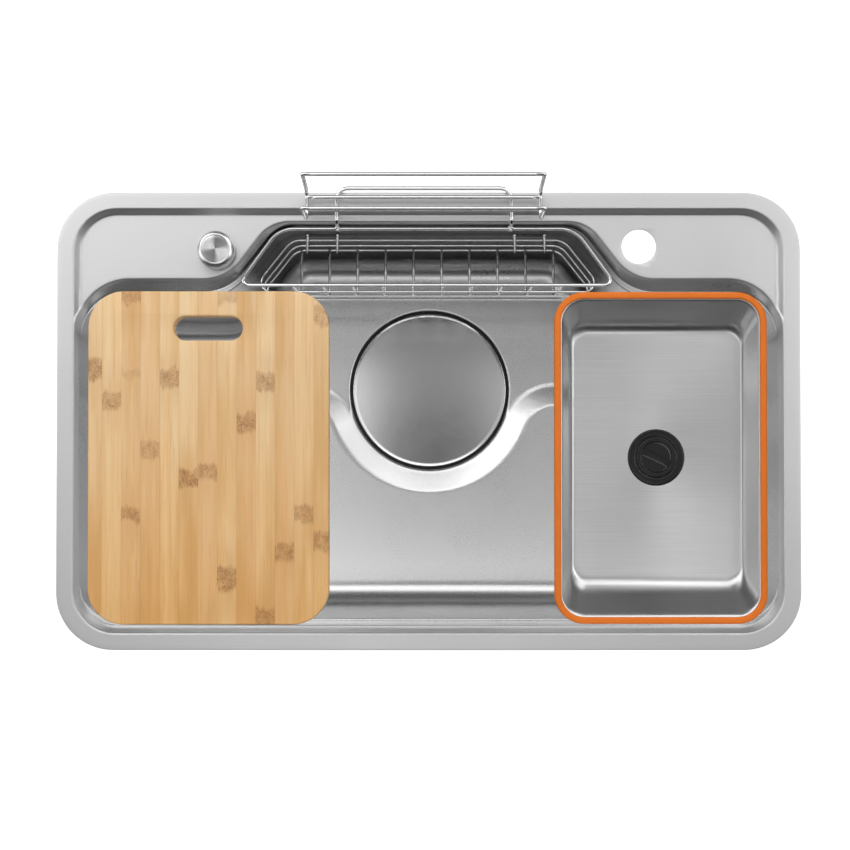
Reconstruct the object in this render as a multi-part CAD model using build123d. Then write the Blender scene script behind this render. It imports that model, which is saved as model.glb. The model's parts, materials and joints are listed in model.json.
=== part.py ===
from build123d import *
import math
import os

os.makedirs("parts", exist_ok=True)

# ---------------------------------------------------------------------------
# Drop-in stainless steel sink, 780 x 480 mm, with basket, rack, board and pan.
# Origin: centre of the worktop cut-out, on the worktop's top face.
# +X right, +Y back, +Z up. Millimetres.
# ---------------------------------------------------------------------------

# sheet and rim
SHEET = 1.0
RIM_W, RIM_D, RIM_R = 780.0, 480.0, 60.0
RIM_TOP = 2.5
RIM_BAND = 17.0
STEP_RUN = 5.0
DECK_Z = -5.0
LEDGE_Z = -20.0
PLATFORM_Z = -190.0
FLOOR_Z = -203.0

# lobe of the deck: centre and radius of its round edge, and the slanted edge
LOBE_X, LOBE_Y, LOBE_R = 238.7, 199.4, 50.0
RECESS_X, RECESS_Y, RECESS_R = 147.1, 169.5, 40.7

# section outlines of the opening, the ledge and the bowl
# half width, front, back flat, slant offset, recess back, lobe R, recess R, front corner R, back corner R
S_OPEN = dict(a=371.8, yf=221.8, yflat=149.4, es=0.0, yb=210.2, r1=50.0, r2=40.7, rf=44.0, rb=56.0)
S_LEDGE_OUT = dict(a=371.2, yf=215.8, yflat=139.4, es=6.5, yb=209.2, r1=55.0, r2=37.0, rf=40.0, rb=42.0)
S_LEDGE_IN = dict(a=371.2, yf=208.8, yflat=131.9, es=11.5, yb=207.6, r1=58.0, r2=34.0, rf=36.0, rb=33.0)
S_FLOOR = dict(a=367.2, yf=204.8, yflat=127.9, es=13.0, yb=205.0, r1=61.0, r2=32.0, rf=32.0, rb=29.0)

# tap hole and control
TAP_X, TAP_Y, TAP_R = 222.0, 184.4, 18.0
KNOB_X, KNOB_Y = -222.6, 178.4
KNOB_R, KNOB_FACE_R, KNOB_TOP = 20.0, 14.3, 15.0
CONTROL_HOLE_R = 14.5
SPINDLE_R = 4.0

# drain
DRAIN_X, DRAIN_Y = 1.5, 50.0
DRAIN_RECESS_R, DRAIN_HOLE_R = 96.0, 87.0
DRAIN_RECESS_Z = -209.0
COVER_R, COVER_T = 92.5, 1.2
STEP_EDGE_R, STEP_EDGE_Y, STEP_REVERSE_R = 123.5, 31.0, 40.0
STOPPER_LIFT = 10.0

# basket
BASKET_X = -1.0
BASKET_RIM_R, BASKET_WIRE_R = 1.9, 1.3
BASKET_FRONT_Y, BASKET_BACK_Y = 145.8, 206.2
BASKET_FRONT_HALF, BASKET_BACK_HALF = 202.0, 156.5
BASKET_RIM_X, RIM_FRONT_HALF, RIM_BACK_HALF, RIM_FRONT_R, RIM_BACK_R = -2.0, 201.5, 157.5, 6.0, 30.0
BASKET_LOOP_Z = (-62.5, -91.5, -117.5)
FLOOR_WIRE_PITCH, FLOOR_WIRE_COUNT = 32.0, 10

# rack
RACK_WIRE_R = 2.1
RACK_X0, RACK_X1 = -127.5, 116.8
RACK_TOP_Z, RACK_LOW_Z = 57.5, 9.2

# board and pan
BOARD_X0, BOARD_X1, BOARD_Y0, BOARD_Y1 = -359.8, -105.2, -214.4, 137.6
BOARD_T, BOARD_R = 14.0, 38.0
PAN_X0, PAN_X1, PAN_Y0, PAN_Y1 = 133.5, 359.5, -214.6, 138.0
PAN_DEPTH, PAN_R = 38.0, 32.0
PAN_SEAL_W = 8.5
PAN_FLOOR_X0, PAN_FLOOR_X1, PAN_FLOOR_Y0, PAN_FLOOR_Y1 = 156.0, 337.0, -174.0, 99.0
PLUG_X, PLUG_Y = 248.5, -36.8


def save(node, *shapes):
    solids = []
    for s in shapes:
        solids += list(s.solids())
    export_step(Compound(children=solids) if len(solids) > 1 else solids[0], f"parts/{node}.step")


# ---------------------------------------------------------------- outlines
_d = math.hypot(LOBE_X - RECESS_X, LOBE_Y - RECESS_Y)
_slope = math.atan2(LOBE_Y - RECESS_Y, LOBE_X - RECESS_X) - math.asin((LOBE_R + RECESS_R) / _d)
DIR = (math.cos(_slope), math.sin(_slope))
NRM = (math.sin(_slope), -math.cos(_slope))


def outline_edges(a, yf, yflat, es, yb, r1, r2, rf, rb):
    """Closed outline: back flat, recess corner, slant, lobe, back flat, corner, side, front corner, mirrored."""
    # lobe arc centre, on the deck's side of the slanted edge
    k1 = LOBE_R + es - r1
    c1y = yflat + r1
    t1 = (c1y - LOBE_Y - k1 * NRM[1]) / DIR[1]
    c1x = LOBE_X + k1 * NRM[0] + t1 * DIR[0]
    # recess arc centre, on the bowl's side
    k2 = LOBE_R + es + r2
    c2y = yb - r2
    t2 = (c2y - LOBE_Y - k2 * NRM[1]) / DIR[1]
    c2x = LOBE_X + k2 * NRM[0] + t2 * DIR[0]

    def polar(cx, cy, r, ang):
        return (cx + r * math.cos(ang), cy + r * math.sin(ang))

    out = math.atan2(-NRM[1], -NRM[0])
    inn = math.atan2(NRM[1], NRM[0])
    if inn > 0:
        inn -= 2 * math.pi
    half = math.pi / 2
    right = [
        ("arc", polar(c2x, c2y, r2, half), polar(c2x, c2y, r2, (half + out) / 2), polar(c2x, c2y, r2, out)),
        ("line", polar(c2x, c2y, r2, out), polar(c1x, c1y, r1, inn)),
        ("arc", polar(c1x, c1y, r1, inn), polar(c1x, c1y, r1, (inn - half) / 2), polar(c1x, c1y, r1, -half)),
        ("line", (c1x, yflat), (a - rb, yflat)),
        ("arc", (a - rb, yflat), polar(a - rb, yflat - rb, rb, math.pi / 4), (a, yflat - rb)),
        ("line", (a, yflat - rb), (a, -yf + rf)),
        ("arc", (a, -yf + rf), polar(a - rf, -yf + rf, rf, -math.pi / 4), (a - rf, -yf)),
    ]
    left = []
    for seg in reversed(right):
        left.append((seg[0],) + tuple((-p[0], p[1]) for p in reversed(seg[1:])))
    front = ("line", right[-1][-1], left[0][1])
    back = ("line", left[-1][-1], right[0][1])
    return right + [front] + left + [back]


def outline_face(z, grow=0.0, **s):
    """Face of a section outline at height z, grown outwards by grow."""
    g = grow
    segs = outline_edges(
        s["a"] + g, s["yf"] + g, s["yflat"] + g, s["es"] - g, s["yb"] + g,
        s["r1"] - g, s["r2"] + g, s["rf"] + g, s["rb"] + g,
    )
    edges = []
    for seg in segs:
        pts = [(p[0], p[1], z) for p in seg[1:]]
        if seg[0] == "line":
            edges.append(Edge.make_line(pts[0], pts[1]))
        else:
            edges.append(Edge.make_three_point_arc(pts[0], pts[1], pts[2]))
    return Face(Wire(edges))


def up(face, h):
    return Solid.extrude(face, Vector(0, 0, h))


def between(low, high):
    return Solid.make_loft([low.outer_wire(), high.outer_wire()], True)


def rr(w, d, r, z):
    return (Pos(0, 0, z) * RectangleRounded(w, d, r)).face()


def cyl(x, y, z0, z1, r):
    return Pos(x, y, (z0 + z1) / 2) * Cylinder(r, z1 - z0)


def ring(x, y, z0, z1, ro, ri):
    return cyl(x, y, z0, z1, ro) - cyl(x, y, z0 - 1, z1 + 1, ri)


def box(x0, x1, y0, y1, z0, z1):
    return Pos((x0 + x1) / 2, (y0 + y1) / 2, (z0 + z1) / 2) * Box(x1 - x0, y1 - y0, z1 - z0)


def tube_path(points, radii, r):
    """Round wire along a polyline with rounded corners."""
    path = FilletPolyline(*points, radius=radii)
    wire = path.wire() if not isinstance(path, Wire) else path
    start = Plane(origin=wire @ 0, z_dir=wire % 0)
    return sweep(start * Circle(r), path=wire)


def rod(p, q, r):
    a, b = Vector(*p), Vector(*q)
    return Solid.make_cylinder(r, (b - a).length, Plane(origin=a, z_dir=b - a))


# ---------------------------------------------------------------- sink top
def make_sink_top():
    outer = up(rr(RIM_W, RIM_D, RIM_R, RIM_TOP - SHEET), SHEET)
    lip = up(rr(RIM_W, RIM_D, RIM_R, 0.3), RIM_TOP - 0.3) - up(
        rr(RIM_W - 2 * SHEET, RIM_D - 2 * SHEET, RIM_R - SHEET, 0.0), RIM_TOP
    )
    iw, id_, ir = RIM_W - 2 * RIM_BAND, RIM_D - 2 * RIM_BAND, RIM_R - RIM_BAND + 2
    tray_void = between(
        rr(iw - 2 * STEP_RUN, id_ - 2 * STEP_RUN, ir - STEP_RUN, DECK_Z), rr(iw, id_, ir, RIM_TOP)
    )
    tray_out = between(
        rr(iw - 2 * STEP_RUN + 2 * SHEET, id_ - 2 * STEP_RUN + 2 * SHEET, ir - STEP_RUN + SHEET, DECK_Z - SHEET),
        rr(iw + 2 * SHEET, id_ + 2 * SHEET, ir + SHEET, RIM_TOP - SHEET),
    )
    wall_out = up(outline_face(DECK_Z - SHEET, SHEET, **S_OPEN), RIM_TOP - DECK_Z)
    slope_out = between(outline_face(LEDGE_Z - SHEET, SHEET, **S_LEDGE_OUT), outline_face(DECK_Z - SHEET, SHEET, **S_OPEN))
    top = outer + lip + tray_out + wall_out + slope_out
    top -= tray_void
    top -= up(rr(iw, id_, ir, RIM_TOP), 5)
    top -= up(outline_face(DECK_Z, **S_OPEN), 20)
    top -= between(outline_face(LEDGE_Z, **S_LEDGE_OUT), outline_face(DECK_Z, **S_OPEN))
    top -= up(outline_face(LEDGE_Z - 5, **S_LEDGE_IN), 10)
    top -= cyl(TAP_X, TAP_Y, -30, 10, TAP_R)
    top -= cyl(KNOB_X, KNOB_Y, -30, 10, CONTROL_HOLE_R)
    return top


# ---------------------------------------------------------------- bowl
def step_face(z, drop):
    """Platform outline at height z; the slope falls 1 in 2 towards the drain, drop below the platform."""
    w = 2.0 * drop
    r0, r1, y = STEP_EDGE_R - w, STEP_REVERSE_R + w, STEP_EDGE_Y + w
    cy = y - r1
    dx = math.sqrt((STEP_EDGE_R + STEP_REVERSE_R) ** 2 - (DRAIN_Y - cy) ** 2)
    ang = math.atan2(cy - DRAIN_Y, dx)

    def on(cx, r, t):
        return (cx[0] + r * math.cos(t), cx[1] + r * math.sin(t), z)

    cr, cl, cd = (DRAIN_X + dx, cy), (DRAIN_X - dx, cy), (DRAIN_X, DRAIN_Y)
    big_x, big_y = 460.0, -320.0
    joint = ang + math.pi  # direction from the right arc's centre to the drain
    edges = [
        Edge.make_line((-big_x, y, z), (cl[0], y, z)),
        Edge.make_three_point_arc((cl[0], y, z), on(cl, r1, (math.pi / 2 + (math.pi - joint)) / 2), on(cl, r1, math.pi - joint)),
        Edge.make_three_point_arc(on(cl, r1, math.pi - joint), on(cd, r0, -math.pi / 2), on(cr, r1, joint)),
        Edge.make_three_point_arc(on(cr, r1, joint), on(cr, r1, (math.pi / 2 + joint) / 2), (cr[0], y, z)),
        Edge.make_line((cr[0], y, z), (big_x, y, z)),
        Edge.make_line((big_x, y, z), (big_x, big_y, z)),
        Edge.make_line((big_x, big_y, z), (-big_x, big_y, z)),
        Edge.make_line((-big_x, big_y, z), (-big_x, y, z)),
    ]
    return Face(Wire(edges))


def make_bowl():
    extra = 3.0
    drop = PLATFORM_Z - FLOOR_Z + extra
    platform = between(step_face(FLOOR_Z - extra, drop), step_face(PLATFORM_Z, 0.0))
    under = Pos(0, 0, -1.1) * platform
    z_top = LEDGE_Z - SHEET
    void = between(outline_face(FLOOR_Z, **S_FLOOR), outline_face(z_top, **S_LEDGE_IN)) - platform
    outer = between(outline_face(FLOOR_Z - SHEET, SHEET, **S_FLOOR), outline_face(z_top, SHEET, **S_LEDGE_IN)) - under
    bowl = outer + cyl(DRAIN_X, DRAIN_Y, DRAIN_RECESS_Z - SHEET, FLOOR_Z - 0.2, DRAIN_RECESS_R + SHEET)
    bowl = bowl - void - cyl(DRAIN_X, DRAIN_Y, DRAIN_RECESS_Z, FLOOR_Z + 1, DRAIN_RECESS_R)
    bowl -= cyl(DRAIN_X, DRAIN_Y, DRAIN_RECESS_Z - 5, FLOOR_Z + 1, DRAIN_HOLE_R)
    return bowl


save("sink_top", make_sink_top())
save("bowl_shell", make_bowl())

# ---------------------------------------------------------------- rim seal, clips, pads
save(
    "rim_seal",
    up(rr(RIM_W - 6, RIM_D - 6, RIM_R - 3, 0.0), RIM_TOP - SHEET)
    - up(rr(RIM_W - 26, RIM_D - 26, RIM_R - 13, -1.0), RIM_TOP + 1),
)

CLIPS = [  # x, y of the wall's outer face, and the outward direction in degrees
    (-230.0, -(S_OPEN["yf"] + SHEET), -90.0),
    (0.0, -(S_OPEN["yf"] + SHEET), -90.0),
    (230.0, -(S_OPEN["yf"] + SHEET), -90.0),
    (-(S_OPEN["a"] + SHEET), -60.0, 180.0),
    (S_OPEN["a"] + SHEET, -60.0, 0.0),
    (-285.0, 219.0, 90.0),
    (285.0, 219.0, 90.0),
]
CLIP_REACH, CLIP_SCREW = 16.8, 11.2
brackets, clips, screws = [], [], []
for cx, cy, ang in CLIPS:
    at = Pos(cx, cy, 0) * Rot(0, 0, ang)
    if ang == 90.0:  # back clips hang from the deck's underside
        top_z, inner = DECK_Z - SHEET, -8.0
    else:
        top_z, inner = -0.8, 0.0
    body = box(inner, 4.1, -12, 12, top_z - 7.5, top_z)
    body -= box(1.4, 2.9, -20, 20, top_z - 10, top_z - 1.5)
    brackets.append(at * body)
    strap = box(1.6, 2.7, -8, 8, -48, top_z - 1.8) + box(1.6, CLIP_REACH, -8, 8, -50, -48)
    strap -= cyl(CLIP_SCREW, 0, -60, -40, 2.6)
    clips.append(at * strap)
    screw = cyl(CLIP_SCREW, 0, -62, -32.5, 2.5) + cyl(CLIP_SCREW, 0, -34, -32, 5.0)
    screw += Pos(CLIP_SCREW, 0, -66) * extrude(RegularPolygon(5.0, 6), 4.0)
    screws.append(at * screw)
save("clip_brackets", *brackets)
save("mounting_clips", *clips)
save("clip_screws", *screws)

PAD_Z = PLATFORM_Z - 1.1
save(
    "sound_pads",
    up((Pos(-245, -75, PAD_Z - 3) * RectangleRounded(180, 150, 12)).face(), 3),
    up((Pos(0, -135, PAD_Z - 3) * RectangleRounded(210, 90, 12)).face(), 3),
    up((Pos(245, -75, PAD_Z - 3) * RectangleRounded(180, 150, 12)).face(), 3),
)

# ---------------------------------------------------------------- drain
D = (DRAIN_X, DRAIN_Y)
POT_R, POT_WALL, POT_Z = 86.4, 3.0, -300.0
NECK_R, NECK_BORE, NECK_Z = 24.0, 20.0, -335.0
FLANGE_TOP = -206.8

save("drain_gasket", ring(*D, DRAIN_RECESS_Z, DRAIN_RECESS_Z + 1.0, 95.0, POT_R + 0.1))

pot = cyl(*D, DRAIN_RECESS_Z + 1.0, FLANGE_TOP, 95.5) + cyl(*D, POT_Z - 3, FLANGE_TOP, POT_R)
pot += cyl(*D, NECK_Z, POT_Z, NECK_R)
pot -= cyl(*D, POT_Z, FLANGE_TOP + 1, 79.0)
pot -= cyl(*D, -212.0, FLANGE_TOP + 1, POT_R - POT_WALL)
pot -= cyl(*D, POT_Z, -216.0, POT_R - POT_WALL)
pot -= cyl(*D, NECK_Z - 1, POT_Z + 1, NECK_BORE)
save("drain_body", pot)

save("drain_washer", ring(*D, DRAIN_RECESS_Z - SHEET - 1.5, DRAIN_RECESS_Z - SHEET, 97.0, POT_R + 0.2))
lock = ring(*D, -225.0, DRAIN_RECESS_Z - SHEET - 1.5, 98.0, POT_R + 0.2)
for i in range(8):
    lock += Pos(*D, 0) * Rot(0, 0, 45 * i) * box(97, 104, -5, 5, -225.0, DRAIN_RECESS_Z - SHEET - 1.5)
save("drain_lock_ring", lock)

# guide for the stopper's stem, a hub on three arms in the outlet
guide = ring(*D, -326, -316, 19.9, 17.5) + cyl(*D, -326, -316, 6.0)
for i in range(3):
    guide += Pos(*D, 0) * Rot(0, 0, 120 * i) * box(4, 18.5, -1.5, 1.5, -324, -318)
guide -= cyl(*D, -330, -310, 3.05)
save("stopper_guide", guide)
save("stopper_seal", ring(*D, POT_Z + 0.3, POT_Z + 2.5, 26.0, 14.0))
stop = cyl(*D, POT_Z + 2.5, POT_Z + 6.0, 25.0) + cyl(*D, POT_Z + 0.5, POT_Z + 2.5, 13.9) + cyl(*D, POT_Z + 6.0, POT_Z + 9.0, 9.0)
save("stopper_disc", stop)
save("stopper_stem", cyl(*D, -340.0, POT_Z + 0.5, 3.0))

gland = Pos(DRAIN_X + 34, DRAIN_Y, -309.5) * Rot(0, 90, 0) * (Cylinder(5.0, 20.0) - Cylinder(2.0, 40.0))
gland += Pos(DRAIN_X + 27, DRAIN_Y, -309.5) * Rot(0, 90, 0) * (Cylinder(6.4, 6.0) - Cylinder(2.0, 40.0))
save("drain_cable_gland", gland)

save("outlet_washer", ring(*D, NECK_Z - 3, NECK_Z, 23.8, 18.5))
tail = ring(*D, -344.0, NECK_Z - 3, 23.8, 18.0) + ring(*D, -350.0, -344.0, 19.7, 18.0) + ring(*D, -400.0, -350.0, 20.0, 18.0)
save("outlet_tailpiece", tail)
nut = ring(*D, -347.0, -318.0, 31.0, NECK_R + 0.2) + ring(*D, -347.0, -344.0, 31.0, 20.4)
for i in range(12):
    nut -= Pos(*D, 0) * Rot(0, 0, 30 * i) * cyl(32.5, 0, -350, -316, 3.0)
save("outlet_nut", nut)

# strainer cup with holes in its wall and its floor, standing on the shoulder of the pot
CUP_TOP, CUP_R, CUP_FLOOR = -210.5, 76.0, -262.0
cup = ring(*D, CUP_TOP - 1.2, CUP_TOP, 82.6, CUP_R - 1.0) + ring(*D, CUP_FLOOR, CUP_TOP, CUP_R, CUP_R - 1.0)
cup += cyl(*D, CUP_FLOOR - 1.0, CUP_FLOOR, CUP_R)
holes = []
for row, z in enumerate((-250.0, -238.0, -226.0)):
    for i in range(18):
        holes.append(
            Pos(*D, z) * Rot(0, 0, 20 * i + 10 * row) * Pos(CUP_R, 0, 0) * Rot(0, 90, 0) * Cylinder(3.4, 8.0)
        )
for rad, n in ((22.0, 8), (38.0, 14), (54.0, 20), (67.0, 24)):
    for i in range(n):
        t = 2 * math.pi * i / n
        holes.append(cyl(D[0] + rad * math.cos(t), D[1] + rad * math.sin(t), CUP_FLOOR - 4, CUP_FLOOR + 4, 3.2))
cup = cup - holes
save("strainer_cup", cup)
handle = cyl(*D, CUP_FLOOR, CUP_FLOOR + 28, 5.0) + cyl(*D, CUP_FLOOR + 28, CUP_FLOOR + 34, 13.0) + cyl(*D, CUP_FLOOR, CUP_FLOOR + 2.5, 13.0)
save("strainer_handle", handle)

cover = cyl(*D, FLOOR_Z - COVER_T, FLOOR_Z, COVER_R) + ring(*D, FLOOR_Z - 3.2, FLOOR_Z, COVER_R, COVER_R - COVER_T)
top_edge = cover.edges().filter_by(GeomType.CIRCLE).group_by(Axis.Z)[-1]
cover = fillet(top_edge, 0.6)
save("drain_cover", cover)
feet = []
for i in range(4):
    t = math.radians(45 + 90 * i)
    feet.append(cyl(D[0] + 78.4 * math.cos(t), D[1] + 78.4 * math.sin(t), CUP_TOP + 0.3, FLOOR_Z - COVER_T, 3.4))
save("cover_feet", *feet)

# ---------------------------------------------------------------- control on the left deck
K = (KNOB_X, KNOB_Y)
save("control_gasket", ring(*K, DECK_Z, DECK_Z + 1.0, 18.5, 14.2))
save("control_body", cyl(*K, DECK_Z + 1.0, DECK_Z + 3.0, 18.5) + cyl(*K, -50.0, DECK_Z + 1.0, 14.0) - cyl(*K, -60, 10, SPINDLE_R + 0.05))
save("control_washer", ring(*K, DECK_Z - SHEET - 2.0, DECK_Z - SHEET, 18.4, 14.2))
save(
    "control_nut",
    Pos(*K, DECK_Z - SHEET - 10.0) * extrude(RegularPolygon(18.6, 6), 8.0) - cyl(*K, -40, 0, 14.1),
)
housing = cyl(*K, -72.0, -50.0, 20.0) - cyl(*K, -70.0, -52.0, 17.5) - cyl(*K, -60, -40, SPINDLE_R + 0.6)
save("control_housing", housing)
save("control_spindle", cyl(*K, -68.5, 8.0, SPINDLE_R))
save("control_drum", ring(*K, -66.0, -56.0, 14.0, SPINDLE_R))
cgland = Pos(K[0] + 29, K[1], -61) * Rot(0, 90, 0) * (Cylinder(4.5, 18.0) - Cylinder(2.0, 40.0))
cgland += Pos(K[0] + 23, K[1], -61) * Rot(0, 90, 0) * (Cylinder(6.0, 6.2) - Cylinder(2.0, 40.0))
save("control_cable_gland", cgland)

KB = -1.4
profile = make_face(
    Polyline(
        (SPINDLE_R, KB), (KNOB_R - 1.6, KB), (KNOB_R - 0.8, KB + 0.8), (KNOB_R, KB + 9.0), (KNOB_R - 0.5, KB + 10.4),
        (KNOB_FACE_R + 1.2, KNOB_TOP), (KNOB_FACE_R, KNOB_TOP), (KNOB_FACE_R, KNOB_TOP - 1.0), (SPINDLE_R, KNOB_TOP - 1.0), close=True,
    )
)
knob = Pos(*K, 0) * revolve(Plane.XZ * profile, Axis.Z)
knob -= Pos(K[0], K[1] - 12, 4.0) * Rot(90, 0, 0) * Cylinder(1.6, 20)
knob -= cyl(*K, 8.0, KNOB_TOP - 1.0, SPINDLE_R - 0.01)
save("control_knob", knob)
save("knob_face", cyl(*K, KNOB_TOP - 1.0, KNOB_TOP - 0.2, KNOB_FACE_R - 0.05))
save("knob_screw", Pos(K[0], K[1] - 9.0, 4.0) * Rot(90, 0, 0) * Cylinder(1.55, 9.5))

# ---------------------------------------------------------------- wire basket
def basket_points(inset, front_inset=0.0):
    f, b = BASKET_FRONT_HALF - inset * 1.25, BASKET_BACK_HALF - inset * 1.25
    y0, y1 = BASKET_FRONT_Y + front_inset, BASKET_BACK_Y - inset * 0.55
    return [(BASKET_X - f, y0), (BASKET_X - b, y1), (BASKET_X + b, y1), (BASKET_X + f, y0)]


def loop(pts, z, r, back_r, front_r):
    face = make_face(Polyline(*pts, close=True))
    back = [v for v in face.vertices() if v.Y > BASKET_FRONT_Y + 20]
    face = fillet(back, back_r)
    front = [v for v in face.vertices() if abs(v.Y - pts[0][1]) < 0.01]
    face = fillet(front, front_r)
    wire = (Pos(0, 0, z) * face.face()).outer_wire()
    start = Plane(origin=wire @ 0, z_dir=wire % 0)
    return sweep(start * Circle(r), path=wire)


RIM_Z = LEDGE_Z + 0.3 + BASKET_RIM_R
LOOP_INSET, LOOP_FRONT = 5.2, 0.3
rim_points = [
    (BASKET_RIM_X - RIM_FRONT_HALF, BASKET_FRONT_Y), (BASKET_RIM_X - RIM_BACK_HALF, BASKET_BACK_Y),
    (BASKET_RIM_X + RIM_BACK_HALF, BASKET_BACK_Y), (BASKET_RIM_X + RIM_FRONT_HALF, BASKET_FRONT_Y),
]
save("basket_rim", loop(rim_points, RIM_Z, BASKET_RIM_R, RIM_BACK_R, RIM_FRONT_R))
loop_points = basket_points(LOOP_INSET, LOOP_FRONT)
save("basket_loops", *[loop(loop_points, z, BASKET_WIRE_R, 26.0 - LOOP_INSET, 11.0) for z in BASKET_LOOP_Z])

RIB_R = 1.5
FLOOR_WIRE_Z = BASKET_LOOP_Z[2] + BASKET_WIRE_R + RIB_R - 0.2
RIB_Y = BASKET_FRONT_Y + LOOP_FRONT + BASKET_WIRE_R + RIB_R - 0.2
back_y = BASKET_BACK_Y - LOOP_INSET * 0.55
wires, ribs = [], []
for i in range(FLOOR_WIRE_COUNT):
    x = BASKET_X + (i - (FLOOR_WIRE_COUNT - 1) / 2) * FLOOR_WIRE_PITCH
    wires.append(rod((x, RIB_Y + RIB_R, FLOOR_WIRE_Z), (x, back_y + 0.6, FLOOR_WIRE_Z), RIB_R))
    ribs.append(rod((x, RIB_Y, FLOOR_WIRE_Z - RIB_R), (x, BASKET_FRONT_Y + 0.5, RIM_Z - 1.2), RIB_R))
save("basket_floor_wires", *wires)
save("basket_front_ribs", *ribs)

UP_Y = back_y - BASKET_WIRE_R - RIB_R + 0.2
UP_TOP = RIM_Z - 6.0
ups, plates = [], []
for pair in (((-129.8, -139.0), (-97.8, -104.7)), ((92.1, 99.2), (124.1, 133.5))):
    for x_top, x_low in pair:
        ups.append(rod((x_low, UP_Y, BASKET_LOOP_Z[2] - 1.0), (x_top, UP_Y, UP_TOP), RIB_R))
    plates.append(box(pair[0][0] + 0.6, pair[1][0] - 0.6, UP_Y - 1.2, UP_Y + 1.2, UP_TOP - 8.0, UP_TOP - 2.0))
save("basket_uprights", *ups)
save("basket_hanger_plates", *plates)

# ---------------------------------------------------------------- wire rack
rw = RACK_WIRE_R
TY_TOP, TY_LOW, BY_TOP, BY_LOW = 244.9, 239.6, 210.5, 210.0
save(
    "rack_rails",
    rod((RACK_X0 + 1.0, TY_TOP, RACK_TOP_Z), (RACK_X1 - 1.0, TY_TOP, RACK_TOP_Z), rw),
    rod((RACK_X0 + 1.0, BY_TOP, RACK_TOP_Z), (RACK_X1 - 1.0, BY_TOP, RACK_TOP_Z), rw),
    rod((RACK_X0 + 1.0, 233.3, RACK_LOW_Z), (RACK_X1 - 1.0, 233.3, RACK_LOW_Z), rw),
    rod((RACK_X0 + 1.0, 220.7, RACK_LOW_Z), (RACK_X1 - 1.0, 220.7, RACK_LOW_Z), rw),
)
ends = []
for x in (RACK_X0, RACK_X1):
    ends.append(
        tube_path(
            [(x, TY_TOP, RACK_TOP_Z + 1.5), (x, TY_LOW, RACK_LOW_Z), (x, BY_LOW, RACK_LOW_Z), (x, BY_TOP, RACK_TOP_Z + 1.5)],
            9.0, rw,
        )
    )
save("rack_end_wires", *ends)

LOOP_Z = RIM_TOP + 0.4 + rw
SUP_X0, SUP_X1 = -96.6, 87.0
HOOK_Y, HOOK_Z = BASKET_BACK_Y, RIM_Z + BASKET_RIM_R + 2.2
sup = tube_path(
    [
        (SUP_X0, HOOK_Y, HOOK_Z), (SUP_X0, HOOK_Y, LOOP_Z), (SUP_X0, 243.6, LOOP_Z),
        (SUP_X1, 243.6, LOOP_Z), (SUP_X1, HOOK_Y, LOOP_Z), (SUP_X1, HOOK_Y, HOOK_Z),
    ],
    [7.0, 12.0, 12.0, 7.0], rw,
)
save("rack_support_loop", sup)
saddles = []
for x in (SUP_X0, SUP_X1):
    s = box(x - 2.7, x + 2.7, HOOK_Y - 3.4, HOOK_Y + 2.8, RIM_Z - 0.8, HOOK_Z + 3.0)
    s -= Pos(x, HOOK_Y, RIM_Z) * Rot(0, 90, 0) * Cylinder(BASKET_RIM_R + 0.35, 20)
    s -= box(x - 10, x + 10, HOOK_Y - BASKET_RIM_R - 0.35, HOOK_Y + BASKET_RIM_R + 0.35, RIM_Z - 10, RIM_Z)
    s -= cyl(x, HOOK_Y, HOOK_Z - 0.01, HOOK_Z + 10, rw)
    saddles.append(s)
save("rack_hook_saddles", *saddles)

# ---------------------------------------------------------------- cutting board
board_z = LEDGE_Z + 0.3
bw, bd = BOARD_X1 - BOARD_X0, BOARD_Y1 - BOARD_Y0
bx, by = (BOARD_X0 + BOARD_X1) / 2, (BOARD_Y0 + BOARD_Y1) / 2
board = up((Pos(bx, by, board_z) * RectangleRounded(bw, bd, BOARD_R)).face(), BOARD_T)
SLOT_X, SLOT_Y, SLOT_W, SLOT_H = -233.0, 98.1, 73.0, 25.6
board -= up((Pos(SLOT_X, SLOT_Y, board_z - 5) * SlotOverall(SLOT_W, SLOT_H)).face(), 30)
rim_edges = [e for e in board.edges() if e.geom_type == GeomType.CIRCLE or e.length > 20]
flat_edges = [e for e in rim_edges if abs(e.center().Z - (board_z + BOARD_T)) < 0.01 or abs(e.center().Z - board_z) < 0.01]
board = fillet(flat_edges, 2.0)
save("cutting_board", board)

# ---------------------------------------------------------------- prep pan
pan_w, pan_d = PAN_X1 - PAN_X0, PAN_Y1 - PAN_Y0
pcx, pcy = (PAN_X0 + PAN_X1) / 2, (PAN_Y0 + PAN_Y1) / 2
PAN_RIM_Z = LEDGE_Z + 0.3 + 3.0  # underside of the pan's steel flange
fw, fd = PAN_FLOOR_X1 - PAN_FLOOR_X0, PAN_FLOOR_Y1 - PAN_FLOOR_Y0
fcx, fcy = (PAN_FLOOR_X0 + PAN_FLOOR_X1) / 2, (PAN_FLOOR_Y0 + PAN_FLOOR_Y1) / 2
PAN_T = 0.8
pan_floor_z = PAN_RIM_Z + PAN_T - PAN_DEPTH


def pan_face(cx, cy, w, d, r, z):
    return (Pos(cx, cy, z) * RectangleRounded(w, d, r)).face()


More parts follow.
